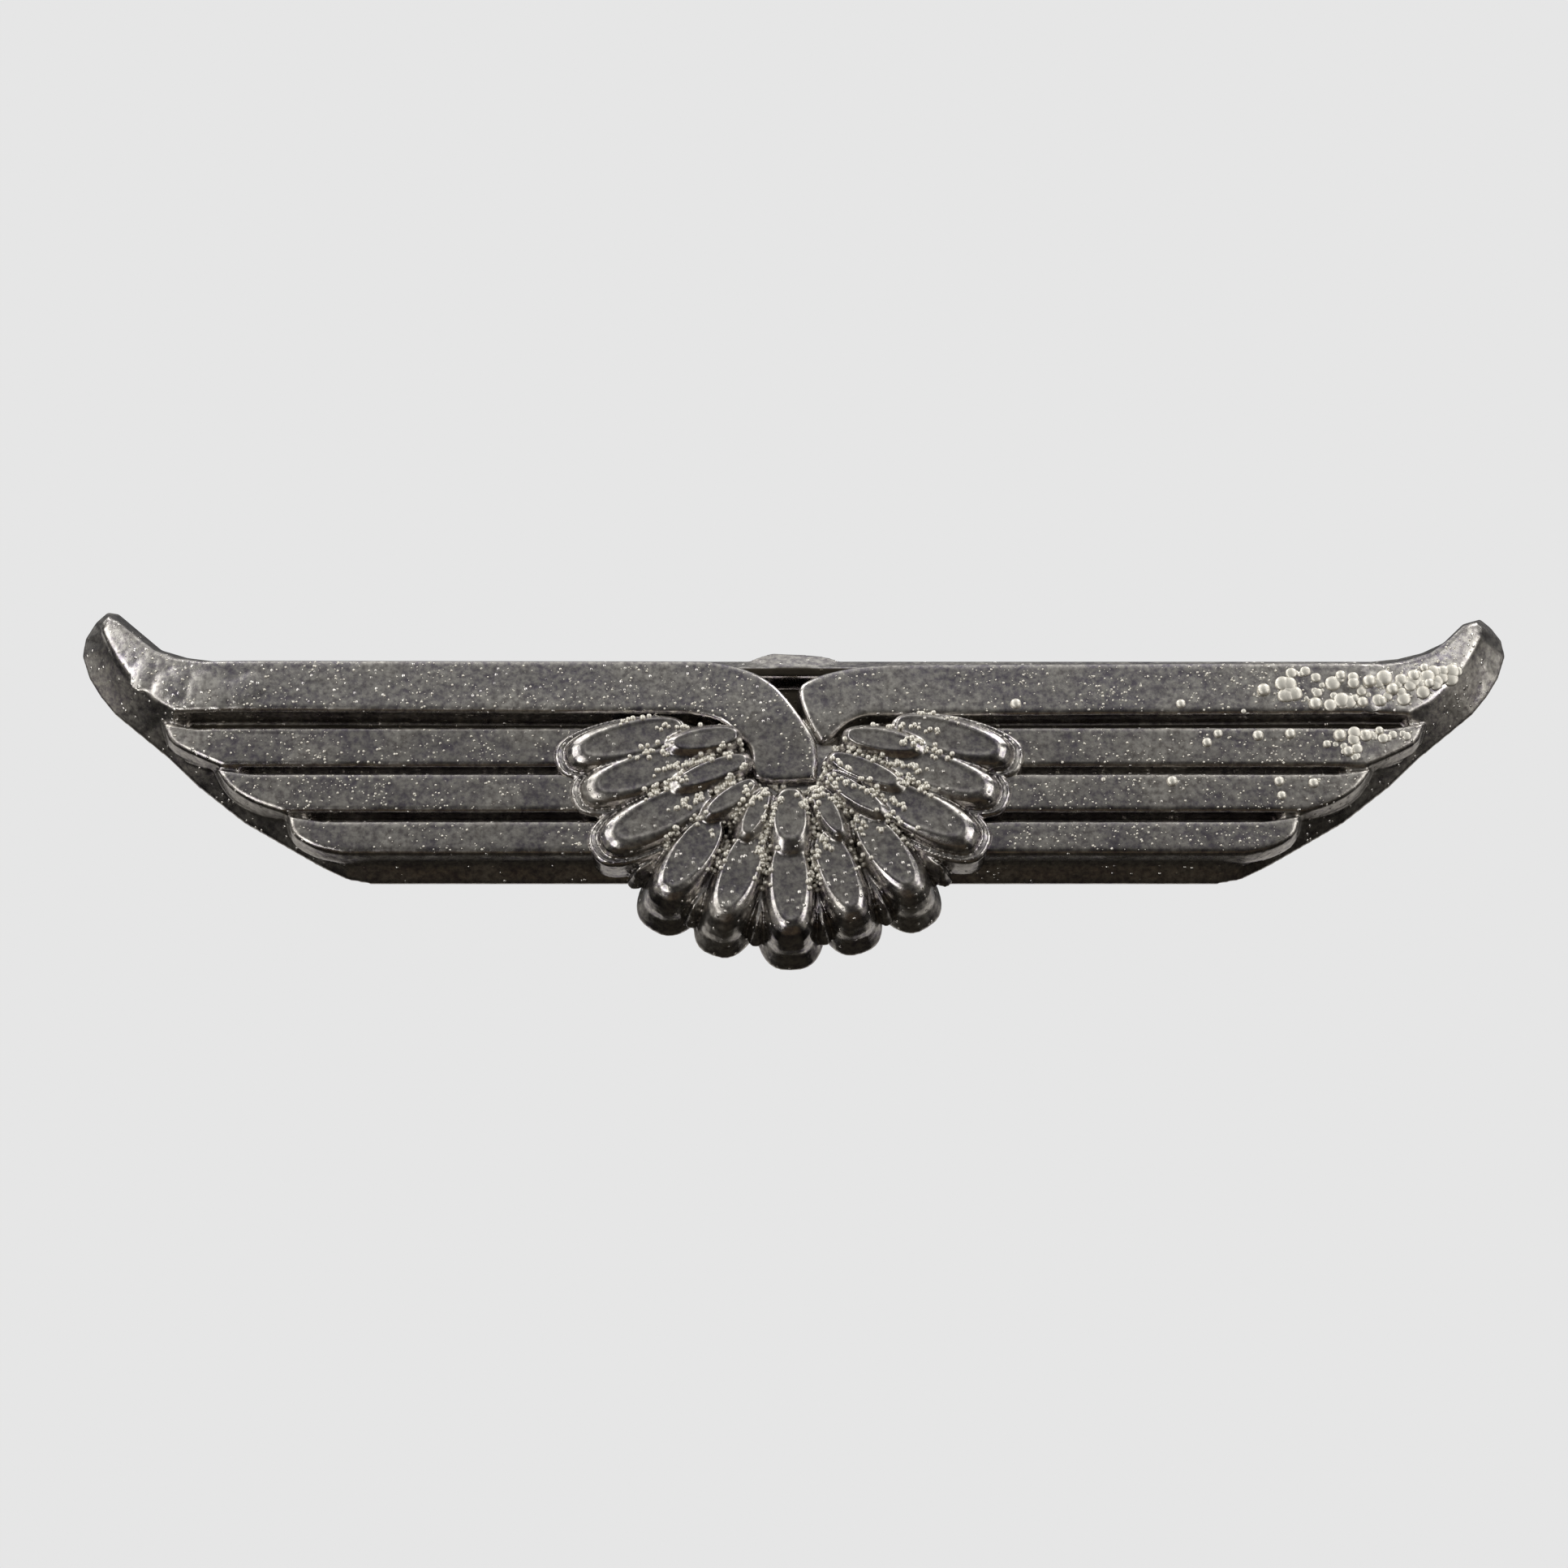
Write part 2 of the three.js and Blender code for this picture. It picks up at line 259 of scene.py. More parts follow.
def makeCastNickel():
    # nickel plated over a grainy casting: a dim mirror, mottled and broken into glints by its grain
    look = castLook
    material, tree, shader, place = newMaterial("platedCasting")
    grain = addNode(tree, "ShaderNodeTexNoise", [(place, "Vector")], in_Scale=perMetre(look["grainMm"]),
                    in_Detail=4.0, in_Roughness=0.65)
    wave = addNode(tree, "ShaderNodeTexNoise", [(place, "Vector")], in_Scale=perMetre(look["waveMm"]),
                   in_Detail=2.0, in_Roughness=0.5)
    patches = addNode(tree, "ShaderNodeTexNoise", [(place, "Vector")], in_Scale=perMetre(look["patchMm"]),
                      in_Detail=3.0, in_Roughness=0.6)
    # specks: round dots in some of the cells
    cells = addNode(tree, "ShaderNodeTexVoronoi", [(place, "Vector")], in_Scale=perMetre(look["speckMm"]),
                    in_Randomness=1.0)
    dot = addNode(tree, "ShaderNodeMapRange", [(cells.outputs["Distance"], "Value")],
                  in_From_Min=0.12, in_From_Max=0.3, in_To_Min=1.0, in_To_Max=0.0)
    chosen = addNode(tree, "ShaderNodeMath", [(cells.outputs["Color"], 0), (patches.outputs[0], 1)],
                     operation="MULTIPLY")
    kept = addNode(tree, "ShaderNodeMapRange", [(chosen.outputs[0], "Value")],
                   in_From_Min=0.34, in_From_Max=0.4)
    specks = addNode(tree, "ShaderNodeMath", [(dot.outputs[0], 0), (kept.outputs[0], 1)],
                     operation="MULTIPLY")
    normal = None
    for height, name in ((wave, "waveDepthMm"), (grain, "grainDepthMm"), (specks, "speckDepthMm")):
        links = [(height.outputs[0], "Height")] + ([(normal, "Normal")] if normal else [])
        bump = addNode(tree, "ShaderNodeBump", links, in_Distance=look[name] * millimetre, in_Strength=1.0)
        normal = bump.outputs[0]
    tree.links.new(normal, shader.inputs["Normal"])

    def blend(factor, first, second):
        mix = addNode(tree, "ShaderNodeMix", [(factor, "Factor")], data_type="RGBA")
        for socket, value in ((mix.inputs[6], first), (mix.inputs[7], second)):
            if isinstance(value, str):
                socket.default_value = fromHex(value)
            else:
                tree.links.new(value, socket)
        return mix.outputs[2]

    normals = addNode(tree, "ShaderNodeTexCoord").outputs["Normal"]
    facing = addNode(tree, "ShaderNodeSeparateXYZ", [(normals, 0)]).outputs[1]
    grainTops = addNode(tree, "ShaderNodeMapRange", [(grain.outputs[0], "Value")],
                        in_From_Min=0.36, in_From_Max=0.64)
    # the back is plainer than the face
    seen = addNode(tree, "ShaderNodeMapRange", [(facing, "Value")], in_From_Min=0.3, in_From_Max=-0.2,
                   in_To_Min=0.35, in_To_Max=1.0)
    mottle = addNode(tree, "ShaderNodeMath", [(grainTops.outputs[0], 0), (seen.outputs[0], 1)],
                     operation="MULTIPLY")
    cloud = addNode(tree, "ShaderNodeMapRange", [(patches.outputs[0], "Value")],
                    in_From_Min=0.4, in_From_Max=0.62)
    base = blend(cloud.outputs[0], look["violet"], look["dull"])
    tone = blend(mottle.outputs[0], base, look["bright"])
    speckled = blend(specks.outputs[0], tone, look["speck"])
    geometry = addNode(tree, "ShaderNodeNewGeometry")
    # dirt and painted shade where the surface curves inward, darker in the valleys
    valley = addNode(tree, "ShaderNodeMapRange", [(geometry.outputs["Pointiness"], "Value")],
                     in_From_Min=0.40, in_From_Max=0.49)
    withValleyDirtAndShade = blend(valley.outputs[0], look["dirtAndShade"], speckled)
    # painted shade: the lowest parts darken towards the bottom, and the grooves between the long feathers are
    # painted dark where they face the front
    depths = addNode(tree, "ShaderNodeSeparateXYZ", [(place, 0)]).outputs
    lowShade = addNode(tree, "ShaderNodeMapRange", [(depths[2], "Value")], in_From_Min=1.8 * millimetre,
                      in_From_Max=1.0 * millimetre, in_To_Max=look["lowShade"])
    withLowShade = blend(lowShade.outputs[0], withValleyDirtAndShade, look["dirtAndShade"])
    deep = addNode(tree, "ShaderNodeMapRange", [(depths[1], "Value")], in_From_Min=-1.45 * millimetre,
                   in_From_Max=-1.25 * millimetre)
    flat = addNode(tree, "ShaderNodeMapRange", [(facing, "Value")], in_From_Min=-0.8, in_From_Max=-0.95)
    grooveShade = addNode(tree, "ShaderNodeMath", [(deep.outputs[0], 0), (flat.outputs[0], 1)],
                     operation="MULTIPLY")
    final = blend(grooveShade.outputs[0], withLowShade, look["grooveShade"])
    tree.links.new(final, shader.inputs["Base Color"])
    rough = addNode(tree, "ShaderNodeMapRange", [(patches.outputs[0], "Value")],
                    in_From_Min=0.35, in_From_Max=0.65,
                    in_To_Min=look["roughness"] - 0.06, in_To_Max=look["roughness"] + 0.1)
    tree.links.new(rough.outputs[0], shader.inputs["Roughness"])
    return material


sheetLook = {
    "haze": "#a39c8c",  # a warm film where fingers have been
    "hazeMm": 2.5,
    "scratchDepthMm": 0.003,
    "scratchStretch": 6.0,  # how many times finer along Y, the way the wire was drawn
}


def makeSheetNickel(name, colour, roughness, scratchMm):
    # bright nickel on rolled sheet or drawn wire: a clean mirror with hair scratches
    material, tree, shader, place = newMaterial(name)
    look = sheetLook
    stretched = addNode(tree, "ShaderNodeMapping", [(place, "Vector")],
                        in_Scale=(1.0, look["scratchStretch"], 1.0))
    lines = addNode(tree, "ShaderNodeTexNoise", [(stretched.outputs[0], "Vector")],
                    in_Scale=perMetre(scratchMm), in_Detail=4.0, in_Roughness=0.7)
    haze = addNode(tree, "ShaderNodeTexNoise", [(place, "Vector")], in_Scale=perMetre(look["hazeMm"]),
                   in_Detail=3.0)
    bump = addNode(tree, "ShaderNodeBump", [(lines.outputs[0], "Height")],
                   in_Distance=look["scratchDepthMm"] * millimetre, in_Strength=1.0)
    tree.links.new(bump.outputs[0], shader.inputs["Normal"])
    tone = addNode(tree, "ShaderNodeMix", [(haze.outputs[0], "Factor")], data_type="RGBA")
    tone.inputs[6].default_value = fromHex(colour)
    tone.inputs[7].default_value = fromHex(look["haze"])
    tree.links.new(tone.outputs[2], shader.inputs["Base Color"])
    rough = addNode(tree, "ShaderNodeMapRange", [(haze.outputs[0], "Value")],
                    in_From_Min=0.3, in_From_Max=0.7,
                    in_To_Min=roughness - 0.04, in_To_Max=roughness + 0.1)
    tree.links.new(rough.outputs[0], shader.inputs["Roughness"])
    return material


def makeFrostedNickel():
    # nickel that has built up in grains where the plating current crowds: frosted, so pale from any side
    material, tree, shader, place = newMaterial("frostedNickel")
    grain = addNode(tree, "ShaderNodeTexNoise", [(place, "Vector")], in_Scale=perMetre(0.6),
                    in_Detail=2.0)
    tone = addNode(tree, "ShaderNodeMix", [(grain.outputs[0], "Factor")], data_type="RGBA")
    tone.inputs[6].default_value = fromHex("#c9c4b8")
    tone.inputs[7].default_value = fromHex("#e8e4da")
    tree.links.new(tone.outputs[2], shader.inputs["Base Color"])
    shader.inputs["Roughness"].default_value = 0.5
    return material


def makeSolder():
    # tin solder that has run and frozen: soft dull ripples, greyer than the nickel
    material, tree, shader, place = newMaterial("tinSolder")
    ripple = addNode(tree, "ShaderNodeTexNoise", [(place, "Vector")], in_Scale=perMetre(0.5),
                     in_Detail=3.0)
    bump = addNode(tree, "ShaderNodeBump", [(ripple.outputs[0], "Height")],
                   in_Distance=0.06 * millimetre, in_Strength=1.0)
    tree.links.new(bump.outputs[0], shader.inputs["Normal"])
    tone = addNode(tree, "ShaderNodeMix", [(ripple.outputs[0], "Factor")], data_type="RGBA")
    tone.inputs[6].default_value = fromHex("#7d7c78")
    tone.inputs[7].default_value = fromHex("#a5a49f")
    tree.links.new(tone.outputs[2], shader.inputs["Base Color"])
    shader.inputs["Roughness"].default_value = 0.42
    return material


castNickel = makeCastNickel()
frostedNickel = makeFrostedNickel()
pinNickel = makeSheetNickel("drawnPinNickel", "#c4c2bb", 0.2, 0.08)
clutchNickel = makeSheetNickel("stampedSheetNickel", "#cbc8c0", 0.16, 0.12)
solderMetal = makeSolder()
print("materials made")


# the casting: ground, long feathers and shoulders

wings = {
    "baseThick": 1.2,
    "lip": 0.25,  # straight edge at the very back
    "skirt": 0.8,
    "barRelief": 1.1,
    "barRoot": 0.3,  # how deep a long feather is set into the ground
    "barFlank": 0.3,
    "barInner": 6.5,
    "leftRise": 0.35,  # the left shoulder stands above the right one
    "tipStart": 28.0,  # from here out the face falls away towards the wing tips
    "tipFall": 0.011,
    "slopeSink": 0.12,  # how far the tip slopes stop short of the face
    "ovalLine": (4.35, 2.15, 0.4),  # half its width and height, and how wide the line is
    "ovalDepth": 0.2,
    "voxel": 0.1,
}
# back edge of one wing, from the bottom to the root of the tip
backEdge = [(22.2, -7.0), (23.4, -6.78), (24.5, -6.25), (25.7, -5.55), (28.95, -3.6), (31.4, -1.6),
            (33.1, 0.06), (36.1, 2.6), (37.6, 4.7)]
backTips = {
    "left": [(38.05, 6.0), (37.95, 7.0), (37.45, 7.95), (36.85, 8.55), (36.25, 8.45), (35.0, 7.35),
             (33.8, 6.3), (32.4, 5.85), (31.0, 5.65)],
    "right": [(38.05, 6.0), (37.9, 6.9), (37.4, 7.65), (36.85, 8.15), (35.9, 7.85), (34.8, 6.75),
              (33.6, 6.15), (32.3, 5.8), (31.0, 5.65)],
}
faceTips = {
    "left": {
        "lower": [(32.6, 2.0), (33.8, 2.8), (34.95, 4.0), (36.0, 5.5), (36.7, 6.85)],
        "upper": [(36.45, 7.4), (35.95, 7.05), (35.3, 6.45), (34.15, 5.4), (32.9, 4.85), (31.2, 4.55)],
    },
    "right": {
        "lower": [(32.4, 2.0), (33.7, 2.8), (34.9, 4.05), (35.85, 5.35), (36.5, 6.6)],
        "upper": [(36.35, 7.2), (35.75, 6.95), (34.95, 6.15), (33.9, 5.3), (32.5, 4.8), (31.2, 4.57)],
    },
}
shoulders = {
    "left": {
        "top": [(4.6, 4.5), (3.3, 4.25), (2.2, 3.85), (1.2, 3.2), (0.4, 2.27), (-0.35, 1.14), (-0.95, 0.0),
                (-1.08, -1.0)],
        "inner": [(-1.0, -1.95), (1.8, -1.95), (2.1, -0.4), (2.8, 0.5), (3.9, 1.45), (5.6, 1.86)],
    },
    "right": {
        "top": [(5.2, 4.45), (3.4, 4.3), (2.0, 4.0), (1.05, 3.65), (0.45, 3.15), (0.7, 2.0), (1.1, 1.0)],
        "inner": [(1.5, 0.35), (1.95, 0.6), (2.6, 1.3), (3.5, 1.8), (4.5, 1.9), (5.6, 1.86)],
    },
}
# the swept ends of the three feathers below the leading one, from the top corner down
barEnds = [
    {"top": 0.85, "end": [(33.0, 1.15), (32.6, 0.35), (31.3, -0.4), (29.9, -1.05)]},
    {"top": -1.78, "end": [(30.0, -1.5), (29.3, -2.35), (28.1, -3.1), (26.7, -3.6)]},
    {"top": -4.45, "end": [(26.2, -4.2), (25.9, -5.0), (24.8, -5.65), (23.5, -5.95)]},
]
# the slanted web that closes the notch between the shoulders: its edge at the back, then its crest
webBack = [(-2.7, 4.0), (2.8, 4.0), (2.75, 5.5), (1.85, 5.85), (1.0, 5.98), (-1.15, 6.1), (-1.9, 5.85),
           (-2.6, 5.5)]
webCrest = [(-1.9, 4.3), (1.9, 4.3), (1.9, 4.45), (1.4, 4.8), (0.8, 5.0), (-0.9, 5.0), (-1.4, 4.8),
            (-1.9, 4.45)]


def sideOutline(points, side):
    return mirrored(points) if side == "left" else points


def extrudeTo(piece, before, after, depth):
    # raises the selected face and moves its corners from one outline onto the next
    bpy.ops.object.mode_set(mode="EDIT")
    bpy.ops.mesh.select_mode(type="FACE")
    bpy.ops.mesh.extrude_region_move(TRANSFORM_OT_translate={"value": (0, 0, 0)})
    leaveEdit()
    for vertex in piece.data.vertices:
        if vertex.select:
            spot = min(range(len(before)), key=lambda i: math.dist((vertex.co.x, vertex.co.z), before[i]))
            vertex.co = (after[spot][0], depth, after[spot][1])


def loft(name, levels):
    # a closed body through outlines that all have the same number of points: (depth, outline)
    piece = addOutline(name, levels[0][1], levels[0][0])
    editAll(piece)
    bpy.ops.mesh.select_mode(type="FACE")
    leaveEdit()
    for (_, before), (depth, after) in zip(levels, levels[1:]):
        extrudeTo(piece, before, after, depth)
    # the first face is the bottom, which extruding takes away
    editAll(piece)
    bpy.ops.mesh.fill_holes(sides=0)
    leaveEdit()
    outwards(piece)
    return piece


def makeGround():
    w = wings
    right = [*backEdge, *backTips["right"]]
    left = mirrored([*backEdge, *backTips["left"]])
    ground = addOutline("ground", [*right, *left], 0)
    raiseFace(ground, w["lip"], [(w["skirt"], w["baseThick"] - w["lip"])])
    # the notch between the shoulders goes most of the way through
    hollow = addOutline("notchHollow", [(-2.4, 4.4), (0.2, 1.4), (2.6, 4.4)], -0.35)
    cut(ground, raiseFace(hollow, 2.0, []))
    return ground


def makeBar(name, points, rise=0.0):
    w = wings
    bar = addOutline(name, points, w["barRoot"] - w["baseThick"])
    height = w["barRelief"] + rise
    # up the flank, then two small steps that round the edge over
    return raiseFace(bar, w["barRoot"], [(w["barFlank"] - 0.19, height - 0.2), (0.07, 0.11), (0.12, 0.09)])


# towards the tips the edge slopes straight from the face to the back: both outlines, point for point
tipSlopes = {
    "left": {
        "back": [(33.1, 0.06), (34.6, 1.33), (36.1, 2.6), (36.95, 3.65), (37.6, 4.7), (38.05, 6.0),
                 (37.95, 7.0), (37.45, 7.95), (36.85, 8.55), (36.25, 8.45), (35.0, 7.35), (33.8, 6.3),
                 (32.4, 5.85), (31.0, 5.65), (30.5, 3.0)],
        "face": [(32.6, 1.85), (33.8, 2.6), (34.75, 3.55), (35.45, 4.4), (36.0, 5.2), (36.45, 6.0),
                 (36.8, 6.75), (36.9, 7.25), (36.55, 7.6), (36.0, 7.3), (34.95, 6.35), (33.9, 5.45),
                 (32.7, 4.95), (31.2, 4.7), (31.0, 3.0)],
    },
    "right": {
        "back": [(33.1, 0.06), (34.6, 1.33), (36.1, 2.6), (36.95, 3.65), (37.6, 4.7), (38.05, 6.0),
                 (37.9, 6.9), (37.4, 7.65), (36.85, 8.15), (35.9, 7.85), (34.8, 6.75), (33.6, 6.15),
                 (32.3, 5.8), (31.0, 5.65), (30.5, 3.0)],
        "face": [(32.4, 1.85), (33.7, 2.6), (34.65, 3.5), (35.3, 4.3), (35.85, 5.1), (36.25, 5.85),
                 (36.6, 6.6), (36.7, 7.1), (36.35, 7.4), (35.7, 7.15), (34.85, 6.3), (33.8, 5.45),
                 (32.5, 4.95), (31.2, 4.7), (31.0, 3.0)],
    },
}


def makeTipSlope(side):
    outlines = tipSlopes[side]
    w = wings
    depth = w["slopeSink"] - w["baseThick"] - w["barRelief"] - (w["leftRise"] if side == "left" else 0)
    back, face = (sideOutline(outlines[key], side) for key in ("back", "face"))
    return loft(f"slope{side}", [(-0.02, back), (-w["lip"], back), (depth, face)])


def growOutline(points, distance):
    # the same outline, drawn outwards; the points run anticlockwise
    grown = []
    for i, point in enumerate(points):
        before, here, after = Vector(points[i - 1]), Vector(point), Vector(points[(i + 1) % len(points)])
        a, b = (here - before).normalized(), (after - here).normalized()
        normal = (Vector((a.y, -a.x)) + Vector((b.y, -b.x))).normalized()
        reach = distance / max(normal.dot(Vector((a.y, -a.x))), 0.5)
        grown.append(tuple(here + normal * reach))
    return grown


def barPoints(bar):
    inner, top, bottom = wings["barInner"], bar["top"], bar["end"][-1][1]
    swept = list(reversed(throughPoints(bar["end"], 8)))
    return [(inner, bottom), *swept, (bar["end"][0][0] - 1.6, top), (inner, top)]


def leadingPoints(side):
    tip, shoulder = faceTips[side], shoulders[side]
    return [*throughPoints(tip["lower"], 12), *throughPoints(tip["upper"], 12),
            *throughPoints(shoulder["top"], 18), *throughPoints(shoulder["inner"], 14)]


def makeWingFeathers():
    feathers = []
    for side in ("left", "right"):
        for i, bar in enumerate(barEnds):
            points = growOutline(barPoints(bar), wings["barFlank"])
            feathers.append(makeBar(f"bar{i}{side}", sideOutline(points, side)))
        points = growOutline(leadingPoints(side), wings["barFlank"])
        rise = wings["leftRise"] if side == "left" else 0.0
        feathers.append(makeBar(f"leading{side}", sideOutline(points, side), rise))
    return feathers


# single nodules on the face: x, z and radius
nodules = [
    (11.7, 2.3, 0.34), (24.8, 3.1, 0.42), (27.5, 2.3, 0.42), (30.4, 3.6, 0.42), (26.1, 0.6, 0.34),
    (24.4, 0.5, 0.34), (22.3, 0.6, 0.28), (21.7, 0.1, 0.3), (28.7, 0.5, 0.42), (29.1, -0.4, 0.34),
    (28.0, 0.0, 0.26), (19.8, -2.1, 0.34), (25.4, -2.1, 0.32), (25.5, -2.9, 0.28), (27.2, -2.2, 0.32),
    (20.4, 2.3, 0.3), (31.6, 3.2, 0.4), (32.8, 4.0, 0.42), (29.6, 2.6, 0.3), (33.6, 3.6, 0.34),
    (28.9, 3.9, 0.34), (30.0, 2.4, 0.36), (31.0, 2.5, 0.34), (33.4, 4.5, 0.3), (30.0, 0.6, 0.3),
    (30.8, 0.8, 0.28), (29.6, -0.2, 0.22), (26.8, 4.0, 0.2), (23.7, 1.9, 0.16), (16.2, -2.0, 0.14),
]


# low lumps towards each tip: x from, x to, how many, the least and greatest radius, and how flat
roughEnds = {
    "right": (28.5, 34.8, 26, 0.3, 0.6, 0.2),
    "left": (-34.6, -28.5, 26, 0.5, 0.85, 0.13),
}


def leadingMiddle(x):
    # the height of the leading feather's middle line, which climbs into the tip
    return 3.2 + 0.06 * max(0.0, abs(x) - 30.5) ** 2


def nearLeading(dice, x):
    # a spot at random across the leading feather, clear of its edges
    narrowing = max(0.25, 1.2 - 0.16 * max(0.0, abs(x) - 30))
    return leadingMiddle(x) + dice.uniform(-0.85, 0.85) * narrowing


def addLump(centre, radius, flat):
    bpy.ops.mesh.primitive_ico_sphere_add(subdivisions=3, radius=radius, location=centre, scale=(1, flat, 1))
    return bpy.context.object


def makeLumps():
    # low swellings towards the tips, which the plating then smooths over
    dice = random.Random(3)
    deselectAll()
    front = -(wings["baseThick"] + wings["barRelief"])
    domes = []
    for low, high, count, small, large, flat in roughEnds.values():
        for _ in range(count):
            x = dice.uniform(low, high)
            depth = front + 0.04 - (wings["leftRise"] if x < 0 else 0)
            spot = (x, depth, nearLeading(dice, x))
            domes.append(addLump(spot, dice.uniform(small, large), flat))
    return domes


def makeOvalLine():
    # the sunk line of a blank oval on the back, where a maker would sign; its inside is cut out longer
    across, tall, line = wings["ovalLine"]
    ovals = []
    for less in (0, line):
        turns = [math.tau * i / 64 for i in range(64)]
        outline = [((across - less) * math.cos(a), (tall - less) * math.sin(a)) for a in turns]
        oval = addOutline("oval", outline, 1 + less)
        ovals.append(raiseFace(oval, 1 + wings["ovalDepth"] + 2 * less, []))
    cut(ovals[0], ovals[1])
    return ovals[0]


def makeBackCutters():
    # the hollow round each pin
    pocket = [(7, -4.6), (21.5, -4.6), (24.5, -3.6), (28.5, -0.8), (31.0, 1.6), (30.0, 3.2), (7, 3.2)]
    cutters = []
    for side in ("left", "right"):
        cutter = addOutline("pocket", sideOutline(pocket, side), 1)
        cutters.append(raiseFace(cutter, 1.5, []))
    return cutters


mostTriangles = 190000  # in one piece


def castTogether(pieces, name, voxel, smoothing):
    # the parts run into one another as they do in a mould, then the skin is eased and thinned
    for piece in pieces:
        makeActive(piece)
        bpy.ops.object.transform_apply(location=True, rotation=True, scale=True)
    whole = joinPieces(pieces, name)
    applyModifier(whole, "REMESH", mode="VOXEL", voxel_size=voxel)
    applyModifier(whole, "SMOOTH", factor=0.5, iterations=smoothing)
    squares = len(whole.data.polygons)
    ratio = min(1.0, mostTriangles / (2 * squares))
    applyModifier(whole, "DECIMATE", decimate_type="COLLAPSE", ratio=ratio)
    print(name, "thinned from", squares, "faces to", len(whole.data.polygons))
    return whole


def fallAway(piece):
    # the face bends back towards the tips, and the flat back stays where it is
    w = wings
    front = w["baseThick"] + w["barRelief"]
    for vertex in piece.data.vertices:
        past = max(0.0, abs(vertex.co.x) - w["tipStart"])
        vertex.co.y += w["tipFall"] * past ** 2 * min(1.0, max(0.0, -vertex.co.y / front))


def makeWings():
    ground = makeGround()
    for cutter in [*makeBackCutters(), makeOvalLine()]:
        cut(ground, cutter)
    web = loft("web", [(-0.02, webBack), (-0.3, webBack), (-1.1, webCrest)])
    slopes = [makeTipSlope(side) for side in ("left", "right")]
    parts = [ground, web, *slopes, *makeWingFeathers(), *makeLumps()]
    whole = castTogether(parts, "wings", wings["voxel"], 3)
    fallAway(whole)
    return finishPiece(whole, "wings_casting", castNickel, "badge", ["badge_casting"], 180)


wingsCasting = makeWings()
print("wings cast")


# the plume of small feathers

plume = {
    "ringPoints": 40,
    "voxel": 0.08,
}
# x and z of the root, then of the tip, and the width of the foot
hangingFeathers = [
    ((-0.3, -5.6), (-0.13, -11.3), 3.1),
    ((-1.9, -5.0), (-4.05, -10.5), 2.9), ((1.5, -5.2), (3.4, -10.4), 2.9),
    ((-4.0, -4.4), (-7.15, -9.15), 3.1), ((3.4, -4.2), (6.7, -9.0), 3.0),
]
lyingFeathers = [
    ((-4.4, -2.9), (-10.3, -5.95), 3.0), ((4.0, -2.7), (9.85, -5.8), 3.0),
    ((-5.4, -1.0), (-11.35, -3.1), 2.8), ((4.8, -0.9), (11.0, -3.15), 2.8),
    ((-5.8, 0.7), (-12.25, -0.95), 2.75), ((5.3, 0.9), (11.75, -0.95), 2.75),
]
innerFeathers = [
    ((-1.35, -2.85), (-2.8, -6.0), 1.9), ((1.0, -2.8), (2.7, -5.9), 1.9),
    ((-1.9, -2.4), (-5.0, -4.7), 1.9), ((1.5, -2.0), (5.2, -4.6), 2.0),
    ((-2.2, -1.1), (-6.9, -3.0), 2.2), ((1.7, -1.0), (6.2, -2.95), 2.2),
    ((-2.7, 0.2), (-7.1, -0.55), 2.3), ((2.5, 0.2), (7.3, -0.7), 2.3),
]
middleFeather = ((-0.2, -2.75), (-0.2, -7.0), 2.7)
# what each kind of small feather measures from its foot up to the rim of its flat top:
# depth, then shares of its width and of its length, then how far the nose narrows
featherLevels = {
    "hanging": [
        (-0.02, 1.30, -0.05, 1.09, 1.0), (-0.25, 1.30, -0.05, 1.09, 1.0), (-1.15, 1.06, 0.0, 1.015, 1.0),
        (-1.7, 1.0, 0.0, 1.0, 1.0), (-2.25, 0.95, 0.0, 0.965, 1.0), (-2.68, 0.86, 0.0, 0.91, 0.95),
        (-2.95, 0.76, 0.01, 0.85, 0.85), (-3.08, 0.66, 0.02, 0.79, 0.72), (-3.04, 0.54, 0.04, 0.76, 0.70)],
    "lying": [
        (-0.75, 1.28, -0.04, 1.05, 1.0), (-2.34, 1.24, -0.04, 1.045, 1.0), (-2.5, 1.14, -0.02, 1.015, 1.0),
        (-2.36, 1.0, 0.0, 0.965, 1.0), (-2.7, 0.96, 0.0, 0.94, 1.0), (-2.95, 0.9, 0.0, 0.9, 0.95),
        (-3.1, 0.8, 0.01, 0.86, 0.86), (-3.18, 0.7, 0.02, 0.82, 0.76), (-3.13, 0.6, 0.04, 0.79, 0.72)],
    "inner": [
        (-1.2, 1.15, -0.03, 1.06, 1.0), (-2.2, 1.08, -0.02, 1.03, 1.0), (-2.7, 1.0, 0.0, 0.99, 1.0),
        (-2.98, 0.9, 0.0, 0.95, 0.95), (-3.22, 0.76, 0.03, 0.9, 0.85), (-3.4, 0.6, 0.06, 0.84, 0.78),
        (-3.48, 0.5, 0.08, 0.8, 0.74), (-3.44, 0.42, 0.1, 0.77, 0.72)],
    "middle": [
        (-1.2, 1.15, -0.03, 1.06, 1.0), (-2.2, 1.08, -0.02, 1.03, 1.0), (-2.7, 1.0, 0.0, 0.98, 1.0),
        (-3.0, 0.9, 0.0, 0.92, 1.0), (-3.25, 0.8, 0.02, 0.84, 0.95), (-3.42, 0.7, 0.05, 0.76, 0.95),
        (-3.5, 0.62, 0.07, 0.71, 0.95), (-3.45, 0.52, 0.1, 0.67, 0.95)],
    "ridge": [
        (-0.75, 1.2, 0.0, 1.04, 1.0), (-1.2, 1.1, 0.0, 1.0, 1.0), (-1.7, 0.8, 0.0, 0.97, 1.0),
        (-2.05, 0.45, 0.02, 0.94, 0.9), (-2.25, 0.2, 0.04, 0.9, 0.8)],
}


